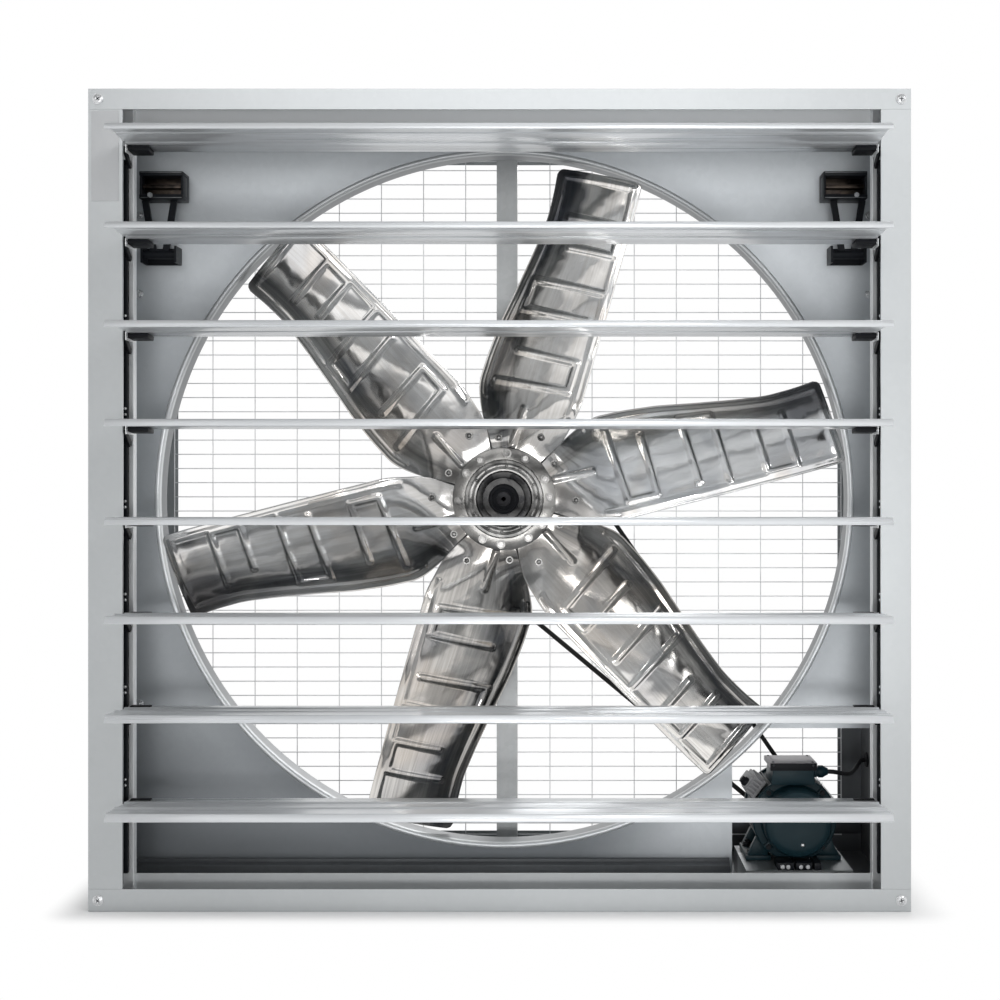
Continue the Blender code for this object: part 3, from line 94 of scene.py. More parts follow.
# %% Materials as expressions
class Signal:
    """A socket's value in a material. Sums of signals add Math nodes."""

    def __init__(self, finish, socket):
        self.finish = finish
        self.socket = socket

    def maths(self, operation, first, second):
        return self.finish.add("Math", {0: first, 1: second}, operation=operation)

    def __add__(self, other):
        return self.maths("ADD", self, other)

    def __mul__(self, other):
        return self.maths("MULTIPLY", self, other)

    def __sub__(self, other):
        return self.maths("SUBTRACT", self, other)

    def __rsub__(self, other):
        return self.maths("SUBTRACT", other, self)

    __radd__ = __add__
    __rmul__ = __mul__


def rgba(tone):
    """An opaque colour from a grey or from red, green and blue. A signal stays as it is."""
    if isinstance(tone, Signal):
        return tone
    return (tone, tone, tone, 1.0) if isinstance(tone, float) else (*tone, 1.0)


class Network:
    """The nodes of a material or of the world."""

    def __init__(self, tree):
        self.tree = tree

    def add(self, kind, sockets={}, output=0, **settings):
        """Add a node: its settings first, then the values or links of its sockets."""
        node = self.tree.nodes.new("ShaderNode" + kind)
        for name, value in settings.items():
            if name == "stops":
                ramp = node.color_ramp.elements
                while len(ramp) < len(value):
                    ramp.new(0.5)
                for element, (place, tone) in zip(ramp, value):
                    element.position = place
                    element.color = rgba(tone)
            else:
                setattr(node, name, value)
        for key, value in sockets.items():
            if isinstance(value, Signal):
                self.tree.links.new(value.socket, node.inputs[key])
            else:
                node.inputs[key].default_value = value
        return Signal(self, node.outputs[output])

    def place(self):
        """Where a point lies in its object, in metres."""
        return self.add("TexCoord", output="Object")

    def part(self, vector, axis):
        return self.add("SeparateXYZ", {"Vector": vector}, axis)

    def vector(self, operation, first, second=(0, 0, 0), output=0):
        return self.add("VectorMath", {0: first, 1: second}, output, operation=operation)

    def ease(self, value, start, end):
        """A share that goes smoothly from 0 to 1 while a value goes from start to end."""
        return self.add("MapRange", {"Value": value, "From Min": start, "From Max": end},
                        interpolation_type="SMOOTHSTEP")

    def between(self, axis, start, end):
        """The same share along an axis of the object."""
        return self.ease(self.part(self.place(), axis), start, end)

    def ramp(self, share, stops):
        """A tone that follows a few stops, each a place and a grey or a colour."""
        return self.add("ValToRGB", {"Fac": share}, stops=stops)

    def noise(self, scale, detail=3.0, stretch=(1, 1, 1), warp=0.0, place=None):
        """Cloudy noise in the object's own metres, drawn out where stretch is small."""
        place = self.add("Mapping", {"Vector": place or self.place(), "Scale": stretch})
        return self.add("TexNoise", {"Vector": place, "Scale": scale, "Detail": detail, "Distortion": warp})

    def crystals(self, scale):
        """The random grey of each zinc crystal."""
        tones = self.add("TexVoronoi", {"Vector": self.place(), "Scale": scale}, "Color")
        return self.add("SeparateColor", {"Color": tones})

    def blend(self, share, first, second):
        """A colour between two colours."""
        return self.add("Mix", {0: share, 6: rgba(first), 7: rgba(second)}, 2, data_type="RGBA")


finishes = {}


class Finish(Network):
    """One material: its shader, and the nodes that feed it."""

    def __init__(self, name, roughness, metallic, specular=0.5):
        finishes[name] = self.material = bpy.data.materials.new(name)
        self.material.use_nodes = True
        super().__init__(self.material.node_tree)
        self.shader = self.tree.nodes["Principled BSDF"].inputs
        self.shader["Roughness"].default_value = roughness
        self.shader["Metallic"].default_value = metallic
        self.shader["Specular IOR Level"].default_value = specular

    def feed(self, tone, roughness):
        self.tree.links.new(tone.socket, self.shader["Base Color"])
        self.tree.links.new(roughness.socket, self.shader["Roughness"])

    def relief(self, height, strength, distance):
        bump = self.add("Bump", {"Height": height, "Strength": strength, "Distance": distance})
        self.tree.links.new(bump.socket, self.shader["Normal"])


# %% [markdown]
# Galvanised sheet is steel with a skin of zinc: a soft blue-grey metal with faint crystals, slow clouds
# where the zinc ran, and fine marks from rolling. One function makes every zinc piece, and each row of
# the list gives a name, a dark and a light tone, the roughness, the metal share and the crystals' scale.
# The casing, the bulkhead and the air ring also name their painted shade: darker tones painted where
# less light falls on them. Some rows are copies of the zinc painted lighter or darker, as painted light
# and painted shade.

# %% Zinc
SHAFT_HEIGHT = 0.690
RING_CENTRE = (0, 0, SHAFT_HEIGHT)
INNER_FACES = [("X", -0.6888, -0.6887), ("X", 0.6888, 0.6887), ("Y", 0.1988, 0.1987),
               ("Z", 0.0012, 0.0013), ("Z", 1.3788, 1.3787)]


def painted_shade_on_casing(finish, skin):
    """The sheets are darker towards the bottom, as painted shade. Inside, behind the bulkhead, they carry
    painted shade, and it is darkest round the motor, where the side wall lies in shadow."""
    # Painted shade: darker towards the bottom.
    skin = finish.blend(finish.between("Z", 1.15, 0.10) * 0.26, skin, (0.20, 0.207, 0.21))
    behind = finish.between("Y", 0.012, 0.020)
    for axis, outer, inner in INNER_FACES:
        behind = behind * finish.between(axis, outer, inner)
    # Painted shade inside behind the bulkhead, and a deeper painted shadow in the low corner round the motor.
    low_corner = behind * finish.between("Z", 0.34, 0.24) * finish.between("X", 0.35, 0.42)
    skin = finish.blend(behind * 0.12, skin, (0.10, 0.105, 0.11))
    return finish.blend(low_corner * 0.74, skin, (0.030, 0.033, 0.040))


def painted_shade_on_bulkhead(finish, skin):
    """Painted shade darkens the bulkhead towards its left, low down, along its sides and round the air ring.
    """
    left = finish.between("X", 0.40, -0.60)
    low = finish.between("Z", 0.50, 0.06) * finish.between("X", 0.40, 0.10)
    sides = finish.between("X", -0.59, -0.67) + finish.between("X", 0.59, 0.67)
    flat = finish.vector("MULTIPLY", finish.place(), (1, 0, 1))
    ring = finish.ease(finish.vector("DISTANCE", flat, RING_CENTRE, "Value"), 0.690, 0.632)
    # Each share paints shade onto the bulkhead.
    for share in (left * 0.12, low * 0.72, sides * 0.22, ring * 0.26):
        skin = finish.blend(share, skin, (0.076, 0.086, 0.097))
    return skin


def painted_shade_on_ring(finish, skin):
    """The rolled lip keeps the zinc's own tones, with painted shade towards the ring's top. The wall behind
    it is painted darker, as painted shade, and lighter at the bottom, where it faces up into the light.
    """
    wall_skin = finish.blend(finish.between("Z", 0.50, 0.20), (0.215, 0.225, 0.235), (0.41, 0.42, 0.43))
    skin = finish.blend(finish.between("Z", 0.80, 1.00) * 0.50, skin, (0.09, 0.095, 0.10))
    return finish.blend(finish.between("Y", 0.019, 0.026), skin, wall_skin)


def make_zinc(name, dark, light, roughness, metallic, crystal_scale, painted_shade=None):
    finish = Finish(name, roughness, metallic)
    clouds = finish.noise(2.6, 4.0, warp=0.4)
    skin = finish.blend(clouds * 0.88 + finish.crystals(crystal_scale) * 0.12, dark, light)
    # The casing, the bulkhead and the ring get their painted shade here.
    if painted_shade:
        skin = painted_shade(finish, skin)
    marks = finish.noise(260.0, 2.0, stretch=(1, 1, 0.06))
    finish.feed(skin, roughness - 0.06 + clouds * 0.08 + marks * 0.06)
    finish.relief(marks, 0.05, 0.0004)


for looks in [
        ("rail_zinc", (0.445, 0.465, 0.475), (0.54, 0.56, 0.57), 0.32, 0.75, 110.0, painted_shade_on_casing),
        ("inner_zinc", (0.51, 0.54, 0.565), (0.70, 0.73, 0.755), 0.42, 0.50, 110.0, painted_shade_on_bulkhead),
        ("ring_zinc", (0.70, 0.725, 0.74), (0.86, 0.88, 0.89), 0.38, 0.40, 110.0, painted_shade_on_ring),
        ("trim_zinc", (0.50, 0.52, 0.53), (0.64, 0.66, 0.67), 0.38, 0.40, 110.0),
        # Painted light: a paler copy of the zinc for the shutter's top rail and strips, which sit in shadow.
        ("pale_trim", (0.88, 0.90, 0.91), (0.95, 0.96, 0.97), 0.42, 0.15, 110.0),
        ("post_zinc", (0.29, 0.30, 0.305), (0.54, 0.555, 0.56), 0.40, 0.40, 110.0),
        # Painted shade: darker copies of the zinc for the bulkhead's foot and the rear sill.
        ("shade_zinc", (0.13, 0.137, 0.144), (0.23, 0.24, 0.25), 0.44, 0.50, 110.0),
        ("sill_zinc", (0.030, 0.033, 0.038), (0.075, 0.080, 0.088), 0.44, 0.50, 110.0),
        ("bright_zinc", (0.52, 0.53, 0.54), (0.74, 0.75, 0.76), 0.26, 0.90, 400.0),
        ("wire_zinc", (0.66, 0.67, 0.68), (0.84, 0.85, 0.86), 0.40, 0.25, 300.0)]:
    make_zinc(*looks)

# %% [markdown]
# The louvres are drawn aluminium: pale and satin, with fine marks along their length from the rolls
# in their roughness and relief. Noise that is stretched along X gives the streaks, and in the base
# colour the same noise paints light and dark lengthwise bands as painted sheen.

# %% Aluminium
def make_aluminium():
    finish = Finish("louvre_aluminium", 0.30, 0.40)
    streaks_and_sheen = finish.noise(9.0, stretch=(0.10, 9, 9))
    clouds = finish.noise(3.0, stretch=(0.5, 1, 1))
    # The streaks paint light and dark bands into the colour, as painted sheen.
    finish.feed(finish.blend(streaks_and_sheen * 0.65 + clouds * 0.35, (0.58, 0.61, 0.64), (0.90, 0.915, 0.93)),
                0.20 + streaks_and_sheen * 0.20)
    finish.relief(streaks_and_sheen, 0.10, 0.0008)


make_aluminium()

# %% [markdown]
# The blades are pressed from polished stainless sheet. A mirror takes its look from what it reflects, so
# the shader is metal, almost smooth, with a very slow waviness that breaks the reflections up. Over it
# lies painted reflection in the base colour: light streaks along the blade, a dark band beside its
# leading edge, a dark patch near the tip, warm and cool patches and a darker root. A map that runs along
# and across the blade places them. Each blade gets a finish of its own, with its own painted
# reflections. The other metals, such as the hub's turned steels and the copper of the windings, are
# simpler: two tones in soft clouds.

# %% Polished steel and other metals
# Tones of the blades' painted reflections, from dark navy to warm white. The lifts, tip shades and band tones
# set each blade's painted reflections.
REFLECTION_STOPS = [(0.00, (0.040, 0.046, 0.062)), (0.25, (0.150, 0.155, 0.165)), (0.50, (0.430, 0.415, 0.395)),
               (0.75, (0.780, 0.755, 0.720)), (1.00, (0.975, 0.965, 0.950))]
BLADE_REFLECTION_LIFTS = (0.32, 0.08, 0.12, 0.11, -0.18, -0.01)
TIP_REFLECTION_SHADES = (0.78, 0.78, 0.35, 0.72, 0.60, 0.35)
BAND_REFLECTION_TONES = (0.26, 0.18, 0.24, 0.30, 0.58, 0.34)


def make_mirror(number, lift, tip_shade, band):
    """One blade's finish, with painted reflections in its base colour. Its lift brightens or darkens the
    blade's painted reflections as a whole, its tip shade is how dark a painted reflection patch it shows
    near the tip, and its band is the tone of the painted reflection beside its leading edge."""
    finish = Finish(f"blade_mirror_{number}", 0.12, 1.0)
    chart = finish.add("UVMap", uv_map="blade_chart")
    along = finish.part(chart, "X")
    across = finish.part(chart, "Y")
    patches = finish.noise(6.0, 2.5, warp=1.2)
    wander = finish.noise(4.5, 1.5, warp=0.5)
    streaks_and_sheen = finish.noise(1.0, 2.5, (3.5, 34.0, 1.0), 0.6, chart)
    tone = finish.ramp(across + wander * 0.50 - 0.25, [(0.00, 0.98), (0.50, 0.86), (0.68, 0.74),
                                                      (0.78, band), (0.88, band + 0.20), (0.95, 0.85)])
    tone = tone * 0.74 + patches * 0.30 + streaks_and_sheen * 0.44 + (lift - 0.26)
    metal = finish.ramp(tone, REFLECTION_STOPS)
    warm = finish.ramp(finish.noise(5.5, 2.0, warp=0.8), [(0.50, 0.0), (0.60, 1.0)])
    cool = finish.ramp(finish.noise(7.5, 2.0, warp=0.6), [(0.52, 0.0), (0.62, 1.0)])
    metal = finish.blend(warm * 0.30, metal, (0.58, 0.49, 0.41))
    metal = finish.blend(cool * 0.24, metal, (0.17, 0.20, 0.26))
    # A dark painted reflection near the tip, and a darker painted root.
    tip = finish.ramp(along, [(0.64, 0.0), (0.88, 1.0)])
    tip = tip * finish.ramp(across + patches * 0.60 - 0.30, [(0.56, 0.0), (0.66, 1.0)])
    metal = finish.blend(tip * tip_shade, metal, REFLECTION_STOPS[0][1])
    root = finish.ramp(along, [(0.05, 0.80), (0.27, 0.0)])
    metal = finish.blend(root * (0.45 + patches * 0.90), metal, (0.095, 0.094, 0.092))
    finish.feed(metal, 0.06 + patches * 0.12)
    waves = finish.noise(9.0, 1.0, warp=0.7)
    ripples = finish.noise(34.0, 1.0, warp=0.4)
    finish.relief(waves * 0.86 + ripples * 0.14, 0.55, 0.0055)


def make_metal(name, dark, light, roughness, scale=40.0):
    finish = Finish(name, roughness, 1.0)
    clouds = finish.ramp(finish.noise(scale, warp=0.5), [(0.36, 0.0), (0.64, 1.0)])
    finish.feed(finish.blend(clouds, dark, light), roughness - 0.05 + clouds * 0.12)


for number, looks in enumerate(zip(BLADE_REFLECTION_LIFTS, TIP_REFLECTION_SHADES, BAND_REFLECTION_TONES), 1):
    make_mirror(number, *looks)
for looks in [
        ("hub_steel", (0.022, 0.022, 0.023), (0.075, 0.074, 0.073), 0.30),
        ("flange_steel", (0.055, 0.055, 0.054), (0.24, 0.236, 0.23), 0.24, 26.0),
        ("clamp_steel", (0.055, 0.054, 0.053), (0.27, 0.265, 0.255), 0.22, 18.0),
        ("bolt_steel", (0.13, 0.128, 0.125), (0.36, 0.352, 0.345), 0.22),
        ("nose_black", (0.010, 0.010, 0.011), (0.032, 0.032, 0.034), 0.38),
        ("dark_steel", (0.035, 0.037, 0.042), (0.10, 0.105, 0.11), 0.32),
        ("pulley_iron", (0.16, 0.165, 0.17), (0.27, 0.275, 0.28), 0.50),
        ("bronze", (0.022, 0.019, 0.018), (0.085, 0.068, 0.056), 0.38),
        ("windings", (0.40, 0.19, 0.09), (0.62, 0.32, 0.16), 0.40)]:
    make_metal(*looks)

# %% [markdown]
# Paint, plastic and rubber aren't metal. Each has a fine skin of its own: orange peel on the motor's
# enamel, a dry grain on the moulded plastic, and dust on the belt. Each row of the list gives a name, a
# dark and a light tone, the roughness, the grain's scale and depth, and where it is low, the shine.

# %% Paint, plastic and rubber
def make_coat(name, dark, light, roughness, grain_scale, grain_depth, specular=0.25):
    finish = Finish(name, roughness, 0.0, specular)
    clouds = finish.noise(14.0)
    grain = finish.noise(grain_scale, 2.0)
    finish.feed(finish.blend(clouds * 0.7 + grain * 0.3, dark, light), roughness - 0.06 + grain * 0.12)
    finish.relief(grain, 0.20, grain_depth)


for looks in [
        ("motor_paint", (0.004, 0.016, 0.022), (0.008, 0.029, 0.038), 0.40, 420.0, 0.0006, 0.18),
        ("lid_paint", (0.28, 0.265, 0.28), (0.40, 0.385, 0.40), 0.44, 500.0, 0.0004),
        ("case_paint", (0.24, 0.24, 0.25), (0.36, 0.36, 0.37), 0.40, 500.0, 0.0004),
        ("black_plastic", (0.005, 0.0055, 0.007), (0.011, 0.012, 0.015), 0.46, 600.0, 0.0004, 0.12),
        ("black_paint", (0.006, 0.007, 0.009), (0.015, 0.017, 0.021), 0.40, 300.0, 0.0005, 0.12),
        ("belt_rubber", (0.010, 0.010, 0.011), (0.024, 0.0235, 0.023), 0.72, 500.0, 0.0006),
        ("lead_rubber", (0.010, 0.010, 0.012), (0.020, 0.020, 0.022), 0.55, 700.0, 0.0003),
        ("plate_paint", (0.40, 0.41, 0.42), (0.47, 0.48, 0.49), 0.50, 300.0, 0.0002)]:
    make_coat(*looks)
print("finishes:", len(finishes))

# %% [markdown]
# Every new piece starts as a bmesh. These helpers add one shape each to it, and the first one ends it:
# it merges doubles, turns the faces outwards, smooths all but the sharp corners, and lets the piece ride
# on a body of the frame, so that it moves when its joint moves.

# %% Piece helpers
SMOOTH_ANGLE = radians(34)
DOME_STEPS = 4
DOME_SIDES = 14
AXES = {"X": Vector((1, 0, 0)), "Y": Vector((0, 1, 0)), "Z": Vector((0, 0, 1))}


def finish_piece(maker, name, finish, replaced="", body="casing"):
    bmesh.ops.remove_doubles(maker, verts=maker.verts, dist=1e-6)
    bmesh.ops.recalc_face_normals(maker, faces=maker.faces)
    mesh = bpy.data.meshes.new(name)
    maker.to_mesh(mesh)
    maker.free()
    mesh.shade_smooth()
    mesh.set_sharp_from_angle(angle=SMOOTH_ANGLE)
    mesh.materials.append(finishes[finish])
    piece = show(name, mesh)
    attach(piece, body)
    if replaced:
        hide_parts(replaced)
    return piece


def bevel_corners(maker, verts, width, segments=2):
    """Round the sharp edges among these vertices."""
    chosen = set(verts)
    edges = [edge for edge in maker.edges if chosen.issuperset(edge.verts)
             and len(edge.link_faces) == 2 and edge.calc_face_angle(0) > SMOOTH_ANGLE]
    bmesh.ops.bevel(maker, geom=edges, offset=width, affect="EDGES", segments=segments, profile=0.5,
                    material=-1)


def newer(maker, older):
    """The vertices that were added since this set of them was taken."""
    return [vert for vert in maker.verts if vert not in older]


def add_block(maker, low, high, bevel=0.0, turn=None):
    """A box between two corners, with its edges rounded, then turned by a matrix."""
    older = set(maker.verts)
    low = Vector(low)
    high = Vector(high)
    size = Matrix.Diagonal((high - low).to_4d())
    made = bmesh.ops.create_cube(maker, size=1, matrix=Matrix.Translation((low + high) / 2) @ size)
    if bevel:
        bevel_corners(maker, made["verts"], bevel)
    if turn:
        bmesh.ops.transform(maker, matrix=turn, verts=newer(maker, older))


def add_turned(maker, profile, axis, centre, steps):
    """A turned solid: a profile of (radius, distance along the axis), spun all the way round."""
    older = set(maker.verts)
    along = AXES[axis]
    across = AXES["X" if axis == "Z" else "Z"]
    centre = Vector(centre)
    line = [maker.verts.new(centre + across * radius + along * distance) for radius, distance in profile]
    edges = [maker.edges.new(pair) for pair in zip(line, line[1:])]
    if profile[0][0] and profile[-1][0]:
        edges.append(maker.edges.new((line[-1], line[0])))
    bmesh.ops.spin(maker, geom=line + edges, cent=centre, axis=along, angle=2 * pi, steps=steps,
                   use_merge=True, use_duplicate=False)
    return newer(maker, older)


def turn_piece(name, profile, axis, centre, steps, finish, replaced="", body="casing"):
    """A whole piece from one turned profile."""
    maker = bmesh.new()
    add_turned(maker, profile, axis, centre, steps)
    finish_piece(maker, name, finish, replaced, body)


def add_pin(maker, radius, start, end, axis, centre, steps=16, chamfer=0.0):
    """A round bar along an axis, with its ends chamfered."""
    profile = [(0, start), (radius - chamfer, start), (radius, start + chamfer),
               (radius, end - chamfer), (radius - chamfer, end), (0, end)]
    if not chamfer:
        profile = [(0, start), (radius, start), (radius, end), (0, end)]
    add_turned(maker, profile, axis, centre, steps)


def add_dome(maker, radius, height, axis, centre, side=1):
    """A low round head, as on a rivet or a pan screw, that stands proud on one side of a face."""
    angles = [pi / 2 * step / DOME_STEPS for step in range(DOME_STEPS + 1)]
    profile = [(0, 0)] + [(radius * cos(angle), side * height * sin(angle)) for angle in angles]
    add_turned(maker, profile, axis, centre, DOME_SIDES)


def add_hexagon(maker, radius, start, end, axis, centre, chamfer):
    """A bolt's head or a nut."""
    shape = add_turned(maker, [(0, start), (radius, start), (radius, end), (0, end)], axis, centre, 6)
    bevel_corners(maker, shape, chamfer, 1)


def add_stack(maker, stack, face, axis, centre, side):
    """A washer, a head and the end of a thread, one upon the other on a face. Each is a radius, a
    height, a number of sides and a chamfer. The outermost face's place is returned."""
    for radius, height, sides, chamfer in stack:
        start, end = sorted((face, face + side * height))
        if sides == 6:
            add_hexagon(maker, radius, start, end, axis, centre, chamfer)
        else:
            add_pin(maker, radius, start, end, axis, centre, sides, chamfer)
        face += side * height
    return face


def add_prism(maker, outline, lift, bevel):
    """A flat outline of points, extruded along a vector, with its edges rounded."""
    corners = [maker.verts.new(point) for point in outline]
    grown = bmesh.ops.extrude_face_region(maker, geom=[maker.faces.new(corners)])["geom"]
    moved = [part for part in grown if isinstance(part, bmesh.types.BMVert)]
    bmesh.ops.translate(maker, verts=moved, vec=lift)
    shape = corners + moved
    bmesh.ops.recalc_face_normals(maker, faces=list({face for vert in shape for face in vert.link_faces}))
    bevel_corners(maker, shape, bevel)


def dress(finish, *names):
    """Give nodes of the frame their finish."""
    for name in names:
        mesh = nodes[name].data
        mesh.materials.clear()
        mesh.materials.append(finishes[finish])


# %% [markdown]
# The motor's lead is the one free cord: 8 mm round, from the gland on the terminal box down in a shallow
# sag and up into the grommet in the casing's side. The frame's own lead follows the same points, which
# we repeat here as shares of the run between its ends, and draw as one smooth curve with a round bevel.

# %% Motor lead
LEAD_DIAMETER = 0.008
LEAD_START = Vector((0.5713, -0.043, 0.2045))
LEAD_END = Vector((0.6855, 0.146, 0.190))
LEAD_RUN_SHARES = [
    (0.00, 0.00, 0.00, 0.000), (0.16, 0.01, 0.02, 0.004), (0.32, 0.09, 0.10, 0.024),
    (0.47, 0.26, 0.24, 0.046), (0.60, 0.47, 0.42, 0.058), (0.72, 0.68, 0.60, 0.052),
    (0.83, 0.86, 0.77, 0.034), (0.92, 0.98, 0.92, 0.010), (1.00, 1.00, 1.00, 0.000),
]
LEAD_STEPS = 4


def lead_route():
    """The lead's points, read from a smooth curve through its stops. The last share is the sag."""
    run = LEAD_END - LEAD_START
    stops = [LEAD_START + Vector((x * run.x, y * run.y, z * run.z - sag * run.length))
             for x, y, z, sag in LEAD_RUN_SHARES]
    stops = [2 * stops[0] - stops[1]] + stops + [2 * stops[-1] - stops[-2]]
    route = []
    for before, near, far, after in zip(stops, stops[1:], stops[2:], stops[3:]):
        for step in range(LEAD_STEPS):
            t = step / LEAD_STEPS
            route.append(0.5 * (2 * near + (far - before) * t
                                + (2 * before - 5 * near + 4 * far - after) * t ** 2
                                + (3 * near - before - 3 * far + after) * t ** 3))
    return route + [LEAD_END]


route = lead_route()
lead_curve = bpy.data.curves.new("motor_lead_cord", "CURVE")
lead_curve.dimensions = "3D"
lead_spline = lead_curve.splines.new("POLY")
lead_spline.points.add(len(route) - 1)
for knot, point in zip(lead_spline.points, route):
    knot.co = (*point, 1)
lead_curve.bevel_depth = LEAD_DIAMETER / 2
lead_curve.bevel_resolution = 5
lead_curve.use_fill_caps = True
lead_curve.materials.append(finishes["lead_rubber"])
lead = show("motor_lead_cord", lead_curve)
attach(lead, "casing")
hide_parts("motor_lead")
lead_length = sum((b - a).length for a, b in zip(route, route[1:]))
print("lead", round(lead_length, 4), "m")

# %% [markdown]
# The floor is a pale studio floor. It carries the fan's soft shadow and isn't part of the fan. The world
# is white to the camera, but polished metal needs something darker to reflect, so it sees a room.

# %% Floor, world and lamps
FLOOR_HALF = 40.0
FOOTPRINT_HALF = (0.69, 0.20, 0.0)
SHADOW_REACH = 0.08


def make_floor():
    """Pale and matt near the fan, and plain white further off, as a lit studio floor photographs."""
    paint = Finish("studio_floor", 0.85, 0.0)
    paint.shader["Base Color"].default_value = rgba(0.94)
    rays = [paint.add("LightPath", output=ray)
            for ray in ("Is Camera Ray", "Is Glossy Ray", "Is Transmission Ray")]
    past = paint.vector("SUBTRACT", paint.vector("ABSOLUTE", paint.place()), FOOTPRINT_HALF)
    away = paint.vector("LENGTH", paint.vector("MAXIMUM", past), output="Value")
    seen = (rays[0] + rays[1] + rays[2]) * paint.ease(away, 0.0, SHADOW_REACH)
    glow = paint.add("Emission", {"Color": rgba(1.0), "Strength": 1.0})
    matt = Signal(paint, paint.tree.nodes["Principled BSDF"].outputs[0])
    mixed = paint.add("MixShader", {0: seen, 1: matt, 2: glow})
    paint.tree.links.new(mixed.socket, paint.tree.nodes["Material Output"].inputs["Surface"])
    maker = bmesh.new()
    bmesh.ops.create_grid(maker, x_segments=1, y_segments=1, size=FLOOR_HALF,
                          matrix=Matrix.Translation((0, 0, -0.0005)))
    mesh = bpy.data.meshes.new("studio_floor")
    maker.to_mesh(mesh)
    maker.free()
    mesh.materials.append(paint.material)
    show("studio_floor", mesh)


def make_world():
    """White to the camera. The metal reflects a room instead, which is white behind the fan and has
    lighter and darker places in front of it."""
    world = bpy.data.worlds.new("studio")
    bpy.context.scene.world = world
    world.use_nodes = True
    room = Network(world.node_tree)
    direction = room.add("TexCoord", output="Generated")
    up = room.part(direction, "Z")
    clutter = room.add("TexNoise", {"Vector": direction, "Scale": 2.3, "Detail": 1.5})
    clutter = room.ramp(clutter, [(0.40, 0.12), (0.50, 0.85), (0.56, 1.0)])
    back = room.ramp(up, [(0.36, 1.0), (0.52, 0.5), (0.75, 0.40), (1.0, 0.7)])
    front = room.ramp(up, [(0.24, 1.0), (0.40, 0.55), (0.70, 0.45), (1.0, 0.8)])
    front = front * (clutter * 0.80 + 0.34) * (room.part(direction, "X") * 0.15 + 0.97)
    facing = room.ramp(room.part(direction, "Y") * -1, [(0.05, 0.0), (0.40, 1.0)])
    seen = room.add("LightPath", output="Is Camera Ray")
    light = (front * facing + back * (1 - facing)) * (1 - seen) + seen
    background = room.tree.nodes["Background"].inputs
    room.tree.links.new(light.socket, background["Strength"])
    background["Color"].default_value = rgba(1.0)


def make_lamp(name, at, aim_height, size, power):
    lamp = bpy.data.lights.new(name, "AREA")
    lamp.shape = "RECTANGLE"
    lamp.size, lamp.size_y = size
    lamp.energy = power
    holder = show(name, lamp)
    holder.location = at
    holder.rotation_euler = (Vector((0, 0, aim_height)) - Vector(at)).to_track_quat("-Z", "Y").to_euler()


make_floor()
make_world()
make_lamp("key_lamp", (2.7, -2.6, 3.0), 0.8, (1.6, 1.0), 49)
make_lamp("top_lamp", (-0.3, -3.4, 2.35), 1.2, (2.6, 0.8), 14)
make_lamp("low_lamp", (0.2, -4.2, 0.30), 1.0, (1.8, 0.44), 30)
make_lamp("back_lamp", (1.0, 3.2, 2.6), 0.7, (1.8, 1.2), 40)

# %% [markdown]
# The casing is four folded sheets, and its shapes in the frame are right as they are: they only need
# their zinc. The panels are thin, so the same finish serves inside and out. So it is with the other
# plain pieces, such as the shutter's rails and the arms of the balance weights.

# %% Pieces that only need a finish
dress("rail_zinc", "top_panel", "bottom_panel", "left_panel", "right_panel", "motor_base")
dress("post_zinc", "rear_post")
# The shutter's top rail and strips sit in shadow behind the casing's front rail; their zinc is painted pale,
# as painted light.
dress("pale_trim", "shutter_top_rail", "left_shutter_strip", "right_shutter_strip")
dress("trim_zinc", "shutter_bottom_rail")
dress("inner_zinc", "bulkhead_panel")
dress("black_paint", "left_lever_bracket", "right_lever_bracket", "left_weight_lever", "right_weight_lever")
dress("dark_steel", "rear_bearing", "motor_shaft")
dress("nose_black", "front_bearing", "fan_axle")
dress("windings", "motor_stator")
dress("bright_zinc", "axle_nut")

# %% [markdown]
# Each corner of the front rails has a pan-head screw on a washer. The head is turned, with a shallow cup
# in it, and a dark cross of two bevelled bars lies in the cup: painted shade that reads as the cross
# recess from any distance.

# %% Corner screws
SCREW_SEAT = -0.2003
SCREW_WASHER_RADIUS = 0.0092
SCREW_HEAD_RADIUS = 0.0079
SCREW_SHANK_RADIUS = 0.003
CROSS_HALF_LENGTH = 0.0036
CROSS_HALF_WIDTH = 0.0008


def make_corner_screw(number):
    name = f"corner_screw_{number}"
    low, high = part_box(name)
    proud = low.y
    middle = (low + high) / 2
    centre = (middle.x, 0, middle.z)
    maker = bmesh.new()
    add_pin(maker, SCREW_WASHER_RADIUS, SCREW_SEAT - 0.001, SCREW_SEAT, "Y", centre, 32, 0.0002)
    finish_piece(maker, f"{name}_washer", "bright_zinc")
    maker = bmesh.new()
    radius = SCREW_HEAD_RADIUS
    head = [(0, SCREW_SEAT - 0.0012), (radius, SCREW_SEAT - 0.0012), (radius, SCREW_SEAT - 0.0020),
            (radius * 0.86, proud + 0.0006), (radius * 0.62, proud), (radius * 0.55, proud + 0.0007),
            (0, proud + 0.0010)]
    add_turned(maker, head, "Y", centre, 32)
    add_pin(maker, SCREW_SHANK_RADIUS, SCREW_SEAT, high.y, "Y", centre)
    finish_piece(maker, f"{name}_head", "bright_zinc", name)
    # The cross is painted shade: dark bars in the cup stand for the recess.
    maker = bmesh.new()
    lean = Matrix.Translation(centre) @ Matrix.Rotation(radians(20 + 37 * number), 4, "Y")
    for across, up in ((CROSS_HALF_LENGTH, CROSS_HALF_WIDTH), (CROSS_HALF_WIDTH, CROSS_HALF_LENGTH)):
        add_block(maker, (-across, proud + 0.0003, -up), (across, proud + 0.0012, up), 0.0002, lean)
    finish_piece(maker, f"{name}_cross", "dark_steel")


for number in range(1, 5):
    make_corner_screw(number)

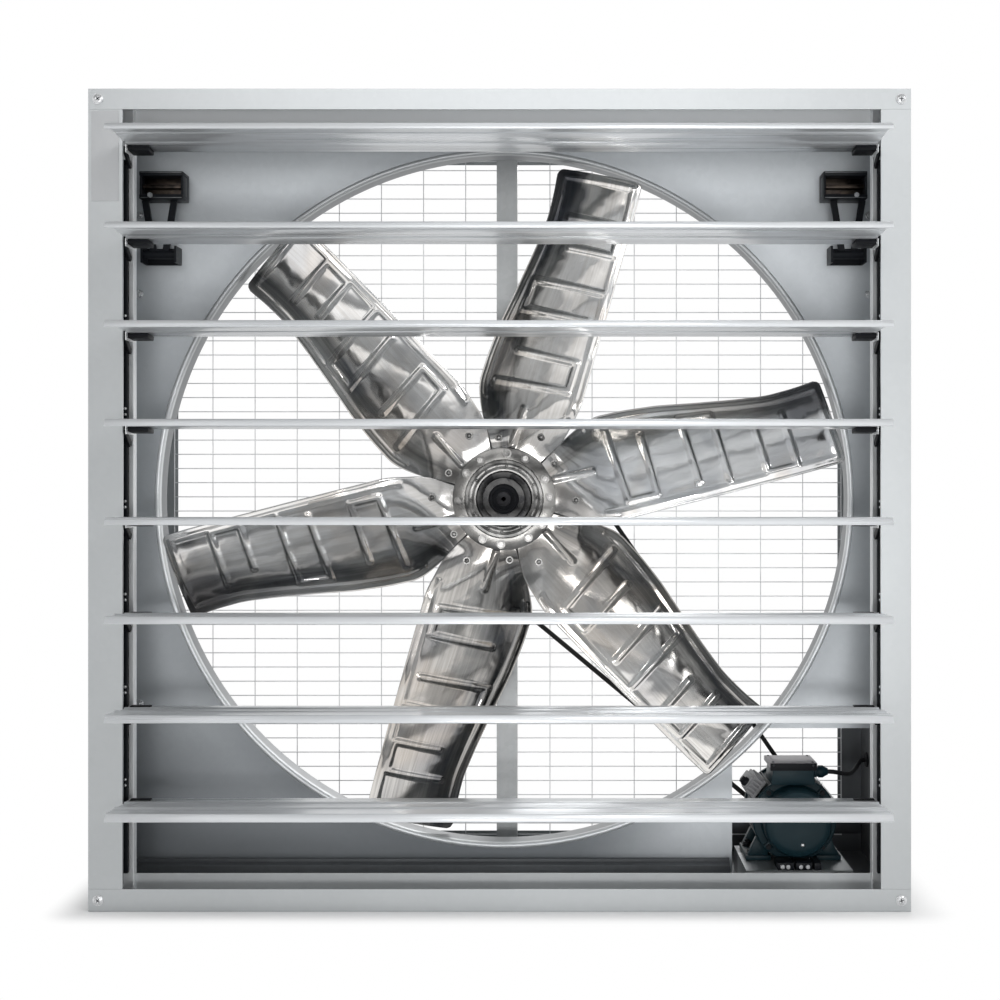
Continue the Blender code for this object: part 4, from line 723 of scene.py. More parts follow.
# %% [markdown]
# The left rail carries a narrow bare plate, which is a thin pale sheet with softened edges. Nuts hold
# the bulkhead to the casing's sides, and its lower edge is folded forward into a foot: one section,
# extruded from the left side to the motor's opening, whose zinc is painted dark as painted shade. A low
# sill closes that opening at the back, and its zinc is painted nearly black, as painted shade.

# %% Plate, bulkhead nuts, foot and sill
PLAIN_BLOCKS = [
    ("bare_plate", ((-0.6845, -0.2009, 1.1915), (-0.6385, -0.2003, 1.3430)), 0.0002, "plate_paint"),
    # The sill is painted nearly black, as painted shade.
    ("rear_sill", ((0.4020, 0.1900, 0.0380), (0.6870, 0.1950, 0.0620)), 0.0006, "sill_zinc"),
]
BULKHEAD_FACE = 0.0146
NUT_PLACES = [(-0.665, 0, 0.317)] + [(x, 0, z) for x in (-0.665, 0.665) for z in (1.063, 1.206)]
NUT_STACK = [(0.0078, 0.0011, 20, 0.0003), (0.0060, 0.0050, 6, 0.0006), (0.0030, 0.0028, 12, 0.0004)]
FOOT_SECTION = [(0.0145, 0.0365), (0.0093, 0.0345), (0.0093, 0.0300), (0.0010, 0.0290), (-0.0062, 0.0270),
                (-0.0062, 0.0020), (0.0145, 0.0020)]
FOOT_ENDS = (-0.6870, 0.4100)


def make_rail_and_bulkhead_trim():
    for name, corners, bevel, finish in PLAIN_BLOCKS:
        maker = bmesh.new()
        add_block(maker, *corners, bevel)
        finish_piece(maker, name, finish)
    maker = bmesh.new()
    for at in NUT_PLACES:
        add_stack(maker, NUT_STACK, BULKHEAD_FACE, "Y", at, -1)
    finish_piece(maker, "bulkhead_nuts", "bright_zinc")
    # The foot is painted dark, as painted shade.
    maker = bmesh.new()
    outline = [(FOOT_ENDS[0], y, z) for y, z in FOOT_SECTION]
    add_prism(maker, outline, (FOOT_ENDS[1] - FOOT_ENDS[0], 0, 0), 0.0006)
    finish_piece(maker, "bulkhead_foot", "shade_zinc")


make_rail_and_bulkhead_trim()

# %% [markdown]
# The air ring is one sheet rolled round the blade tips, with a lip that curls over the bulkhead's edge.
# A profile of its wall and lip, spun round the shaft, gives the true curve that a polygon only hints at.

# %% Air ring
RING_STEPS = 192
LIP_RADIUS = 0.005
LIP_STEPS = 10
SHEET = 0.0015


def make_ring():
    low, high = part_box("venturi_ring")
    radius = (high.x - low.x) / 2 - 2 * LIP_RADIUS
    lip_y = low.y + LIP_RADIUS
    middle = radius + LIP_RADIUS
    thin = LIP_RADIUS - SHEET
    turns = [pi * step / LIP_STEPS for step in range(LIP_STEPS + 1)]
    profile = [(radius, high.y), (radius, lip_y)]
    profile += [(middle - LIP_RADIUS * cos(turn), lip_y - LIP_RADIUS * sin(turn)) for turn in turns[1:]]
    profile += [(middle + thin * cos(turn), lip_y - thin * sin(turn)) for turn in turns]
    profile.append((radius + SHEET, high.y))
    turn_piece("air_ring", profile, "Y", RING_CENTRE, RING_STEPS, "ring_zinc", "venturi_ring")


make_ring()

# %% [markdown]
# The guard is welded wire: upright wires 82 mm apart behind level wires 27.6 mm apart, with a heavier
# wire round the border. Bars of six or eight sides are round enough for wires of this thickness.

# %% Wire guard
UPRIGHT_PITCH = 0.0820
LEVEL_PITCH = 0.0276
LEVEL_OFFSET = 0.002
WIRE_RADIUS = 0.0009
BORDER_RADIUS = 0.0012


def make_guard():
    low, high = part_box("rear_guard")
    middle = (low.y + high.y) / 2
    maker = bmesh.new()
    uprights = int((high.x - BORDER_RADIUS) / UPRIGHT_PITCH)
    for number in range(-uprights, uprights + 1):
        place = (number * UPRIGHT_PITCH, high.y - WIRE_RADIUS, 0)
        add_pin(maker, WIRE_RADIUS, low.z, high.z, "Z", place, 6)
    levels = int(((high.z - low.z) / 2 - BORDER_RADIUS) / LEVEL_PITCH)
    for number in range(-levels, levels + 1):
        place = (0, low.y + WIRE_RADIUS, SHAFT_HEIGHT + LEVEL_OFFSET + number * LEVEL_PITCH)
        add_pin(maker, WIRE_RADIUS, low.x, high.x, "X", place, 6)
    for x in (low.x + BORDER_RADIUS, high.x - BORDER_RADIUS):
        add_pin(maker, BORDER_RADIUS, low.z, high.z, "Z", (x, middle, 0), 8)
    for z in (low.z + BORDER_RADIUS, high.z - BORDER_RADIUS):
        add_pin(maker, BORDER_RADIUS, low.x, high.x, "X", (0, middle, z), 8)
    finish_piece(maker, "wire_guard", "wire_zinc", "rear_guard")
    print("guard wires:", 2 * uprights + 1, "upright,", 2 * levels + 1, "level")


make_guard()

# %% [markdown]
# A louvre is a long strip of sheet with two stiffening ribs and a lip folded down at its tip. Its section
# is drawn about the hinge, tilted up a little as the air holds it, and extruded along X; Solidify then
# gives the sheet its wall. It hangs on black end brackets, which hold the hinge pins and the cranks.

# %% Louvres
LOUVRE_SHEET = 0.0014
LOUVRE_STANDOFF = 0.006
LOUVRE_TAIL = 0.035
LOUVRE_REACH = 0.1253
LOUVRE_LIP = 0.0142
LOUVRE_LIP_TURN = radians(54)
LOUVRE_TILT = radians(3.3)
LOUVRE_LENGTH = 1.262
RIB_SHARES = (0.34, 0.68)
RIB_HEIGHT = 0.0026
RIB_HALF_WIDTH = 0.0060
RIB_STEPS = 6
BEND_RADIUS = 0.003
BEND_STEPS = 4
HINGES = {number: Vector(joint["pos_m"]) for number in range(1, 9)
          for joint in frame["joints"] if joint["name"] == f"louvre_{number}_hinge"}


def tilted(y, z):
    """A point about the hinge of the open louvre, whose tip stands a little higher than its tail."""
    return (y * cos(LOUVRE_TILT) + z * sin(LOUVRE_TILT), z * cos(LOUVRE_TILT) - y * sin(LOUVRE_TILT))


def louvre_section():
    """The sheet's middle line, from its tail over two rounded ribs and a bend to the end of its lip."""
    line = [(LOUVRE_TAIL, LOUVRE_STANDOFF)]
    for share in RIB_SHARES:
        centre = LOUVRE_TAIL - share * (LOUVRE_TAIL + LOUVRE_REACH)
        for step in range(RIB_STEPS + 1):
            line.append((centre + RIB_HALF_WIDTH * (1 - 2 * step / RIB_STEPS),
                         LOUVRE_STANDOFF + RIB_HEIGHT * (1 - cos(2 * pi * step / RIB_STEPS)) / 2))
    bend_y = -LOUVRE_REACH + BEND_RADIUS * tan(LOUVRE_LIP_TURN / 2)
    for step in range(BEND_STEPS + 1):
        turn = LOUVRE_LIP_TURN * step / BEND_STEPS
        line.append((bend_y - BEND_RADIUS * sin(turn), LOUVRE_STANDOFF - BEND_RADIUS * (1 - cos(turn))))
    line.append((-LOUVRE_REACH - LOUVRE_LIP * cos(LOUVRE_LIP_TURN),
                 LOUVRE_STANDOFF - LOUVRE_LIP * sin(LOUVRE_LIP_TURN)))
    return [tilted(y, z) for y, z in line]


def make_louvre_sheet(name, hinge):
    half = LOUVRE_LENGTH / 2
    maker = bmesh.new()
    line = [maker.verts.new((hinge.x - half, hinge.y + y, hinge.z + z)) for y, z in louvre_section()]
    edges = [maker.edges.new(pair) for pair in zip(line, line[1:])]
    grown = bmesh.ops.extrude_edge_only(maker, edges=edges)["geom"]
    moved = [part for part in grown if isinstance(part, bmesh.types.BMVert)]
    bmesh.ops.translate(maker, verts=moved, vec=(LOUVRE_LENGTH, 0, 0))
    sheet = finish_piece(maker, f"{name}_sheet", "louvre_aluminium", name, name)
    wall = sheet.modifiers.new("wall", "SOLIDIFY")
    wall.thickness = LOUVRE_SHEET
    wall.offset = 0
    wall.use_even_offset = True


BRACKET_LENGTH = 0.035
BRACKET_TOP = LOUVRE_STANDOFF - LOUVRE_SHEET / 2 - 0.0002
BRACKET_CORNERS = [(-0.006, -0.003), (0.031, -0.003), (0.031, BRACKET_TOP), (-0.006, BRACKET_TOP)]
CLIP_BASE = LOUVRE_STANDOFF + LOUVRE_SHEET / 2 + 0.0001
CLIP_CORNERS = [(0.008, CLIP_BASE), (0.0192, CLIP_BASE), (0.0192, CLIP_BASE + 0.0030),
                (0.008, CLIP_BASE + 0.0018)]
ARM_INNER = 0.6350
ARM_OUTER = 0.6390
ARM_HALF_WIDTH = 0.006
ARM_ROUND = 0.66
ROD_OUTER = 0.6485
CRANK_REACH = 0.031
CRANK_DROP = 0.022
PIN_RADIUS = 0.003


def make_louvre_fittings(name, hinge):
    """The black end brackets and cranks of one louvre, and their bright pins."""
    black = bmesh.new()
    bright = bmesh.new()
    length = hypot(CRANK_REACH, CRANK_DROP)
    along = Vector((0, CRANK_REACH, -CRANK_DROP)) / length
    across = Vector((0, CRANK_DROP, CRANK_REACH)) / length
    crank = (0, hinge.y + CRANK_REACH, hinge.z - CRANK_DROP)
    for side in (-1, 1):
        end = hinge.x + side * (LOUVRE_LENGTH / 2 - 0.0003)
        for corners, bevel in ((BRACKET_CORNERS, 0.0012), (CLIP_CORNERS, 0.0006)):
            outline = [(end, hinge.y + y, hinge.z + z) for y, z in (tilted(*corner) for corner in corners)]
            add_prism(black, outline, (-side * BRACKET_LENGTH, 0, 0), bevel)
        near, far = sorted((hinge.x + side * LOUVRE_LENGTH / 2, hinge.x + side * ARM_OUTER))
        add_pin(bright, PIN_RADIUS, near, far, "X", (0, hinge.y, hinge.z))
        face = Vector((hinge.x + side * ARM_OUTER, hinge.y, hinge.z))
        outline = []
        for centre, turn in ((0, pi / 2), (length, -pi / 2)):
            for step in range(7):
                angle = turn + pi * step / 6
                outline.append(face + along * (centre + ARM_HALF_WIDTH * cos(angle) * ARM_ROUND)
                               + across * ARM_HALF_WIDTH * sin(angle))
        add_prism(black, outline, (-side * (ARM_OUTER - ARM_INNER), 0, 0), 0.0006)
        near, far = sorted((hinge.x + side * ARM_INNER, hinge.x + side * ROD_OUTER))
        add_pin(bright, PIN_RADIUS, near, far, "X", crank, 16, 0.0004)
    finish_piece(black, f"{name}_brackets", "black_plastic", body=name)
    finish_piece(bright, f"{name}_pins", "bright_zinc", body=name)


for number, hinge in HINGES.items():
    make_louvre_sheet(f"louvre_{number}", hinge)
    make_louvre_fittings(f"louvre_{number}", hinge)
print("louvres:", len(HINGES))

# %% [markdown]
# The rods that tie the louvres together are black bars that swell round each crank pin, with a pair of
# rivets above it. The swelling is an arc in the outline, so the rod is still a single extrusion.

# %% Link rods
ROD_HALF_DEPTH = 0.004
ROD_BOSS_RADIUS = 0.0065
ROD_BOSS_STEPS = 8
ROD_RIVETS = (0.050, 0.060)
RIVET_RADIUS = 0.0028
RIVET_HEIGHT = 0.0015
PIN_HEAD_RADIUS = 0.0042
PIN_HEAD_HEIGHT = 0.0016


def make_link_rod(side_name, side):
    name = f"{side_name}_link_rod"
    body = f"{side_name}_link"
    low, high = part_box(name)
    middle = (low + high) / 2
    pins = [hinge.z - CRANK_DROP for hinge in HINGES.values()]
    start = atan2(ROD_HALF_DEPTH, (ROD_BOSS_RADIUS ** 2 - ROD_HALF_DEPTH ** 2) ** 0.5)
    edge = [(ROD_HALF_DEPTH, high.z)]
    for pin in pins:
        for step in range(ROD_BOSS_STEPS + 1):
            angle = start + step * (pi - 2 * start) / ROD_BOSS_STEPS
            edge.append((ROD_BOSS_RADIUS * sin(angle), pin + ROD_BOSS_RADIUS * cos(angle)))
    edge.append((ROD_HALF_DEPTH, low.z))
    outline = [(low.x, middle.y + y, z) for y, z in edge]
    outline += [(low.x, middle.y - y, z) for y, z in reversed(edge)]
    maker = bmesh.new()
    add_prism(maker, outline, (high.x - low.x, 0, 0), 0.0008)
    finish_piece(maker, f"{name}_bar", "black_paint", name, body)
    maker = bmesh.new()
    for pin in pins:
        for lift in ROD_RIVETS:
            if pin + lift < high.z:
                at = (middle.x, middle.y - ROD_HALF_DEPTH, pin + lift)
                add_dome(maker, RIVET_RADIUS, RIVET_HEIGHT, "Y", at, -1)
        at = (high.x if side > 0 else low.x, middle.y, pin)
        add_dome(maker, PIN_HEAD_RADIUS, PIN_HEAD_HEIGHT, "X", at, side)
    finish_piece(maker, f"{name}_rivets", "bright_zinc", body=body)


make_link_rod("left", -1)
make_link_rod("right", 1)

# %% [markdown]
# A blade is one pressed sheet. It starts as a flat grid whose rows run along the blade and whose columns
# run across it, and each vertex is then moved to its place on the twisted, bowed blade. Each station
# gives a share of the radius, then the shares of the blade's lead, trail, pitch and set-back there. The
# pressed ribs are a height added along short paths of (distance from the shaft, distance across).

# %% Blade shape
BLADE_COUNT = 6
FIRST_BLADE_ANGLE = radians(14)
TIP_RADIUS = 0.6155
TIP_CORNER = 0.011
BLADE_SHEET = 0.0018
BLADE_LEAD = 0.108
BLADE_TRAIL = 0.088
BLADE_PITCH = radians(31)
BLADE_CAMBER = 0.012
BLADE_ROOT = 0.062
BLADE_ROOT_Y = 0.0036
BLADE_MIDLINE_Y = 0.026
STATIONS = [
    (0.100, 0.320, 0.390, 0.00, 0.00), (0.155, 0.495, 0.610, 0.00, 0.00), (0.180, 0.610, 0.750, 0.16, 0.06),
    (0.215, 0.735, 0.860, 0.46, 0.26), (0.262, 0.880, 0.920, 0.82, 0.62), (0.316, 1.000, 1.000, 1.00, 0.90),
    (0.410, 0.985, 1.000, 1.00, 1.00), (0.512, 0.925, 1.000, 0.98, 1.00), (0.620, 0.810, 1.000, 0.94, 1.00),
    (0.741, 0.695, 0.990, 0.89, 1.00), (0.836, 0.625, 0.985, 0.85, 1.00), (0.920, 0.635, 0.975, 0.81, 1.00),
    (0.982, 0.665, 0.960, 0.79, 1.00), (1.000, 0.675, 0.955, 0.78, 1.00),
]
STATION_SPREAD = (-0.022, -0.011, 0.0, 0.011, 0.022)
RIB_PATHS = [
    [(0.529, 0.028), (0.529, -0.069), (0.474, -0.069), (0.474, 0.012)],
    [(0.404, -0.070), (0.404, 0.060), (0.347, 0.066), (0.350, -0.056)],
    [(0.270, 0.050), (0.271, -0.059), (0.218, -0.058), (0.208, 0.076)],
    [(0.168, 0.010), (0.098, 0.013)],
]
PRESSED_RIB_HEIGHT = 0.0034
PRESSED_RIB_REACH = 0.0052
EDGE_BEAD_START = 0.17
EDGE_BEAD_INSET = 0.0125
EDGE_BEAD_HEIGHT = 0.0026
EDGE_BEAD_REACH = 0.0042
BLADE_GRID = (190, 62)


def station(radius_share):
    """The shares between two stations."""
    for near, far in zip(STATIONS, STATIONS[1:]):
        if radius_share <= far[0]:
            share = (radius_share - near[0]) / (far[0] - near[0])
            return [a + share * (b - a) for a, b in zip(near[1:], far[1:])]
    return list(STATIONS[-1][1:])


def smooth_station(radius):
    """The mean of five stations close to this radius, which rounds the corners between them."""
    samples = [station(min(max(radius / TIP_RADIUS + offset, STATIONS[0][0]), 1.0))
               for offset in STATION_SPREAD]
    return [sum(values) / len(samples) for values in zip(*samples)]


def distance_to_path(radius, across, path):
    """How far a point of the blade lies from the nearest stretch of a path."""
    best = 1.0
    for (r1, c1), (r2, c2) in zip(path, path[1:]):
        run_r = r2 - r1
        run_c = c2 - c1
        share = ((radius - r1) * run_r + (across - c1) * run_c) / (run_r ** 2 + run_c ** 2)
        share = min(max(share, 0.0), 1.0)
        best = min(best, hypot(radius - r1 - share * run_r, across - c1 - share * run_c))
    return best


def pressed_height(radius, across, low, high):
    """How far the pressed ribs and the beads along the edges stand proud."""
    ribs = max(exp(-(distance_to_path(radius, across, path) / PRESSED_RIB_REACH) ** 4)
               for path in RIB_PATHS)
    edge = min(high - across, across - low, TIP_RADIUS - radius)
    bead = exp(-((edge - EDGE_BEAD_INSET) / EDGE_BEAD_REACH) ** 2) if radius > EDGE_BEAD_START else 0.0
    return max(ribs * PRESSED_RIB_HEIGHT, bead * EDGE_BEAD_HEIGHT)


def blade_sides(radius):
    """How far the blade reaches across to its trailing and to its leading edge."""
    lead, trail = smooth_station(radius)[:2]
    return -trail * BLADE_TRAIL, lead * BLADE_LEAD


def blade_point(radius, share):
    """A point of the blade that points along +X, at a share of the way from its trailing edge."""
    pitch, back = smooth_station(radius)[2:]
    low, high = blade_sides(radius)
    across = low + share * (high - low)
    middle = BLADE_ROOT_Y + back * (BLADE_MIDLINE_Y - BLADE_ROOT_Y)
    bow = pitch * BLADE_CAMBER * (1 - (2 * share - 1) ** 2)
    y = middle + across * tan(pitch * BLADE_PITCH) - bow - pressed_height(radius, across, low, high)
    reach = radius
    gap = TIP_CORNER - max(min(across - low, high - across), 0.0)
    if gap > 0:
        reach -= (TIP_CORNER - (TIP_CORNER ** 2 - gap ** 2) ** 0.5) * (radius / TIP_RADIUS) ** 24
    return Vector((reach, y, across))


# %% [markdown]
# All six blades share that shape, turned about the shaft in steps of sixty degrees. The turn is applied
# to the mesh, so each blade's own object stays at the origin and its patterns don't slide.

# %% Blades
def make_blade_mesh():
    """The blade along +X, with a map of how far along it and how far across it each point lies."""
    maker = bmesh.new()
    bmesh.ops.create_grid(maker, x_segments=BLADE_GRID[0], y_segments=BLADE_GRID[1], size=0.5)
    chart = maker.loops.layers.uv.new("blade_chart")
    for face in maker.faces:
        for loop in face.loops:
            loop[chart].uv = (loop.vert.co.x + 0.5, loop.vert.co.y + 0.5)
    for vert in maker.verts:
        radius = BLADE_ROOT + (vert.co.x + 0.5) * (TIP_RADIUS - BLADE_ROOT)
        vert.co = blade_point(radius, vert.co.y + 0.5)
    mesh = bpy.data.meshes.new("blade_master")
    maker.to_mesh(mesh)
    maker.free()
    return mesh


def blade_turn(number, lean=0):
    """The turn about the shaft that carries the first direction, +X, to a blade's."""
    angle = FIRST_BLADE_ANGLE + number * 2 * pi / BLADE_COUNT + radians(lean)
    return Matrix.Translation(RING_CENTRE) @ Matrix.Rotation(-angle, 4, "Y")


def make_blades():
    master = make_blade_mesh()
    for number in range(BLADE_COUNT):
        name = f"fan_blade_{number + 1}"
        maker = bmesh.new()
        maker.from_mesh(master)
        bmesh.ops.transform(maker, matrix=blade_turn(number), verts=maker.verts)
        blade = finish_piece(maker, f"{name}_pressing", f"blade_mirror_{number + 1}", name,
                             "propeller")
        wall = blade.modifiers.new("wall", "SOLIDIFY")
        wall.thickness = BLADE_SHEET
        wall.offset = 0
    print("blade triangles:", len(master.polygons) * 4 * BLADE_COUNT)


make_blades()

# %% [markdown]
# The hub is turned: a nose that holds the front bearing, a step, a disc that the blades bolt to and a
# barrel behind. A flange with a row of rivets and a clamp ring lie over the blades' roots. The clamp ring
# holds two bolts for each blade, and two more stand further out on the blade itself.

# %% Hub
HUB_STEPS = 96
HUB_PROFILE = [
    (0.0273, -0.0200), (0.0375, -0.0200), (0.0390, -0.0185), (0.0390, -0.0095), (0.0405, -0.0090),
    (0.0485, -0.0090), (0.0500, -0.0075), (0.0500, 0.0040), (0.0520, 0.0050), (0.0935, 0.0050),
    (0.0950, 0.0065), (0.0950, 0.0110), (0.0450, 0.0110), (0.0450, 0.0880), (0.0273, 0.0880),
]
CLAMP_PROFILE = [
    (0.0720, 0.0020), (0.0720, -0.0004), (0.0920, -0.0004), (0.0935, 0.0004), (0.0935, 0.0020),
]
FLANGE_PROFILE = [
    (0.0503, 0.0020), (0.0503, -0.0022), (0.0512, -0.0030), (0.0540, -0.0032), (0.0552, -0.0024),
    (0.0640, -0.0024), (0.0652, -0.0032), (0.0700, -0.0030), (0.0716, -0.0016), (0.0716, 0.0020),
]
SHIELD_PROFILE = [
    (0.0128, -0.0203), (0.0262, -0.0203), (0.0266, -0.0216), (0.0258, -0.0224), (0.0225, -0.0210),
    (0.0212, -0.0212), (0.0206, -0.0234), (0.0190, -0.0238), (0.0160, -0.0216), (0.0128, -0.0214),
]
CLAMP_BOLT_RADIUS = 0.0825
CLAMP_BOLT_LEANS = (-12, 12)
CLAMP_BOLT_STACK = [(0.0082, 0.0012, 24, 0.0003), (0.0058, 0.0040, 6, 0.0005), (0.0028, 0.0014, 12, 0.0004)]
CLAMP_FACE_Y = -0.0004
FLANGE_FACE_Y = -0.0024
FLANGE_RIVET_RADIUS = 0.060
OUTER_BOLTS = ((0.126, -0.034), (0.104, 0.040))


def make_blade_bolts():
    bolts = bmesh.new()
    washers = bmesh.new()
    for number in range(BLADE_COUNT):
        for lean in CLAMP_BOLT_LEANS:
            at = blade_turn(number, lean) @ Vector((CLAMP_BOLT_RADIUS, 0, 0))
            face = add_stack(washers, CLAMP_BOLT_STACK[:1], CLAMP_FACE_Y, "Y", at, -1)
            add_stack(bolts, CLAMP_BOLT_STACK[1:], face, "Y", at, -1)
            rivet = blade_turn(number, lean) @ Vector((FLANGE_RIVET_RADIUS, 0, 0))
            add_dome(washers, 0.0030, 0.0010, "Y", (rivet.x, FLANGE_FACE_Y, rivet.z), -1)
        for radius, across in OUTER_BOLTS:
            low, high = blade_sides(radius)
            at = blade_turn(number) @ blade_point(radius, (across - low) / (high - low))
            add_pin(washers, 0.0072, at.y - 0.0022, at.y + 0.0004, "Y", (at.x, 0, at.z), 20, 0.0005)
            add_dome(bolts, 0.0044, 0.0026, "Y", (at.x, at.y - 0.0022, at.z), -1)
    finish_piece(bolts, "blade_bolts", "bolt_steel", body="propeller")
    finish_piece(washers, "blade_washers", "flange_steel", body="propeller")


for name, profile, slot, finish, replaced, body in [
        ("hub_casting", HUB_PROFILE, "hub_steel", "hub_steel", "fan_hub", "propeller"),
        ("blade_clamp_ring", CLAMP_PROFILE, "hub_steel", "clamp_steel", "", "propeller"),
        ("hub_flange", FLANGE_PROFILE, "hub_steel", "flange_steel", "", "propeller"),
        ("bearing_shield", SHIELD_PROFILE, "black_steel", "black_plastic", "", "casing")]:
    turn_piece(name, profile, "Y", RING_CENTRE, HUB_STEPS, finish, replaced, body)
make_blade_bolts()

# %% [markdown]
# Behind the hub the driven pulley and the motor's small pulley carry the V-belt. All three are rounder
# than their coarse solids, and the belt runs straight from one pulley's rim to the other's.

# %% Pulleys and belt
PULLEY_RADIUS = 0.147
PULLEY_WEB = 0.129
MOTOR_PULLEY_RADIUS = 0.042
MOTOR_BORE = 0.0123
BELT_Y = 0.1103
PULLEY_HALF = 0.011
MOTOR_X = 0.518
MOTOR_Z = 0.123
MOTOR_CENTRE = (MOTOR_X, 0, MOTOR_Z)
GROOVE_DEPTH = 0.0105
GROOVE_TOP = 0.0071
GROOVE_BOTTOM = 0.0049
BELT_SECTION = ((0.0006, -0.0064), (0.0006, 0.0064), (0.0086, 0.0046), (0.0086, -0.0046))
BELT_WRAP_STEPS = (96, 32)


def rim(radius):
    """The profile of a grooved rim about the belt's plane, from its front corner to its back one."""
    floor = radius - GROOVE_DEPTH
    return [(radius, -PULLEY_HALF), (radius, -GROOVE_TOP), (floor, -GROOVE_BOTTOM),
            (floor, GROOVE_BOTTOM), (radius, GROOVE_TOP), (radius, PULLEY_HALF)]


def belt_path(sink):
    """The belt's path round both pulleys, this far under their rims, as (x, z)."""
    big = PULLEY_RADIUS - sink
    small = MOTOR_PULLEY_RADIUS - sink
    toward = atan2(MOTOR_Z - SHAFT_HEIGHT, MOTOR_X)
    share = (big - small) / hypot(MOTOR_X, MOTOR_Z - SHAFT_HEIGHT)
    wrap = atan2((1 - share ** 2) ** 0.5, share)
    path = []
    for radius, x, z, start, turn, steps in (
            (big, 0, SHAFT_HEIGHT, toward + wrap, 2 * pi - 2 * wrap, BELT_WRAP_STEPS[0]),
            (small, MOTOR_X, MOTOR_Z, toward - wrap, 2 * wrap, BELT_WRAP_STEPS[1])):
        for step in range(steps + 1):
            angle = start + step * turn / steps
            path.append((x + radius * cos(angle), z + radius * sin(angle)))
    return path


def make_belt():
    """Four closed loops, bridged in turn, make the belt's trapezium section."""
    maker = bmesh.new()
    loops = []
    for sink, across in BELT_SECTION:
        ring = [maker.verts.new((x, BELT_Y + across, z)) for x, z in belt_path(sink)]
        loops.append([maker.edges.new(pair) for pair in zip(ring, ring[1:] + ring[:1])])
    for near, far in zip(loops, loops[1:] + loops[:1]):
        bmesh.ops.bridge_loops(maker, edges=near + far)
    finish_piece(maker, "belt_loop", "belt_rubber", "drive_belt")


driven_profile = [(0.025, -0.022), (0.043, -0.022), (0.045, -0.020), (0.046, -0.003),
                  (PULLEY_WEB - 0.004, -0.003), (PULLEY_WEB, -0.007), (PULLEY_WEB, -PULLEY_HALF),
                  *rim(PULLEY_RADIUS), (PULLEY_WEB, PULLEY_HALF), (PULLEY_WEB, 0.007),
                  (PULLEY_WEB - 0.004, 0.003), (0.025, 0.003)]
motor_profile = [(MOTOR_BORE, -PULLEY_HALF), *rim(MOTOR_PULLEY_RADIUS), (MOTOR_BORE, PULLEY_HALF)]
turn_piece("driven_pulley_casting", driven_profile, "Y", (0, BELT_Y, SHAFT_HEIGHT), 128,
           "pulley_iron", "driven_pulley", "propeller")
turn_piece("motor_pulley_casting", motor_profile, "Y", (MOTOR_X, BELT_Y, MOTOR_Z), 64,
           "pulley_iron", "motor_pulley", "motor_rotor")
make_belt()

# %% [markdown]
# The balance weights hang behind the shutter's upper corners: a black cast channel on two flat arms.
# The channel is open to the front, with a shelf inside, and thin brighter strips along its front edges
# are painted highlights.

# %% Balance weights
WEIGHT_WALL = 0.008
WEIGHT_DEPTH = 0.014
WEIGHT_TRIM_TOP = 0.004
WEIGHT_TRIM_END = 0.006
WEIGHT_BOLT_INSET = 0.020
SHELF_SHARES = (0.40, 0.54)


def make_weight(side):
    name = f"{side}_weight"
    body = f"{side}_balance"
    low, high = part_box(name)
    left = side == "left"
    start = low.x if left else low.x + WEIGHT_TRIM_END
    end = high.x - WEIGHT_TRIM_END if left else high.x
    top = high.z - WEIGHT_TRIM_TOP
    back = high.y - WEIGHT_DEPTH
    floor = low.z + WEIGHT_WALL
    roof = top - WEIGHT_WALL
    shelf = [low.z + share * (top - low.z) for share in SHELF_SHARES]
    maker = bmesh.new()
    outline = [(start, y, z) for y, z in (
        (low.y, low.z), (high.y, low.z), (high.y, top), (low.y, top), (low.y, roof), (back, roof),
        (back, floor), (low.y, floor))]
    add_prism(maker, outline, (end - start, 0, 0), 0.0012)
    for x in (start, end - 0.004):
        add_block(maker, (x, low.y + 0.003, floor - 0.001), (x + 0.004, back + 0.001, roof + 0.001), 0.0006)
    finish_piece(maker, f"{name}_channel", "black_paint", name, body)
    maker = bmesh.new()
    add_block(maker, (start + 0.005, low.y + 0.006, shelf[0]), (end - 0.005, back, shelf[1]), 0.0012)
    add_block(maker, (start + 0.005, back - 0.004, floor), (end - 0.005, back - 0.0002, roof), 0.0010)
    finish_piece(maker, f"{name}_core", "bronze", body=body)
    # Painted highlights: thin brighter strips along the channel's front edges.
    maker = bmesh.new()
    face = low.y - 0.0002
    for z in (top - 0.0026, low.z + 0.0012):
        add_block(maker, (start + 0.002, face, z), (end - 0.002, face + 0.0008, z + 0.0012), 0.0003)
    finish_piece(maker, f"{name}_highlight_edge", "pulley_iron", body=body)
    maker = bmesh.new()
    x = start + WEIGHT_BOLT_INSET if left else end - WEIGHT_BOLT_INSET
    add_hexagon(maker, 0.0052, low.y - 0.0044, low.y - 0.0002, "Y", (x, 0, low.z + 0.006), 0.0005)
    finish_piece(maker, f"{name}_bolt", "bright_zinc", body=body)


make_weight("left")
make_weight("right")

# %% [markdown]
# The motor is a cast barrel with cooling fins, closed by round shields. A turned profile makes the
# shields; the barrel is turned too, and thin fins stand round it. Its feet sit on a folded base plate.

# %% Motor shells
MOTOR_STEPS = 96
MOTOR_RADIUS = 0.0745
MOTOR_WALL = 0.0045
CAP_RADIUS = 0.060
MOTOR_FRONT = -0.105
HOUSING_FRONT = -0.0497
HOUSING_BACK = 0.0623
FIN_COUNT = 40
FIN_HEIGHT = 0.0035
FOOT_BOTTOM = 0.0453
FOOT_TOP = 0.0543


def motor_turn(angle):
    """A turn about the motor's axis. It carries a shape from the top, or from the right, round it."""
    return Matrix.Translation(MOTOR_CENTRE) @ Matrix.Rotation(angle, 4, "Y")


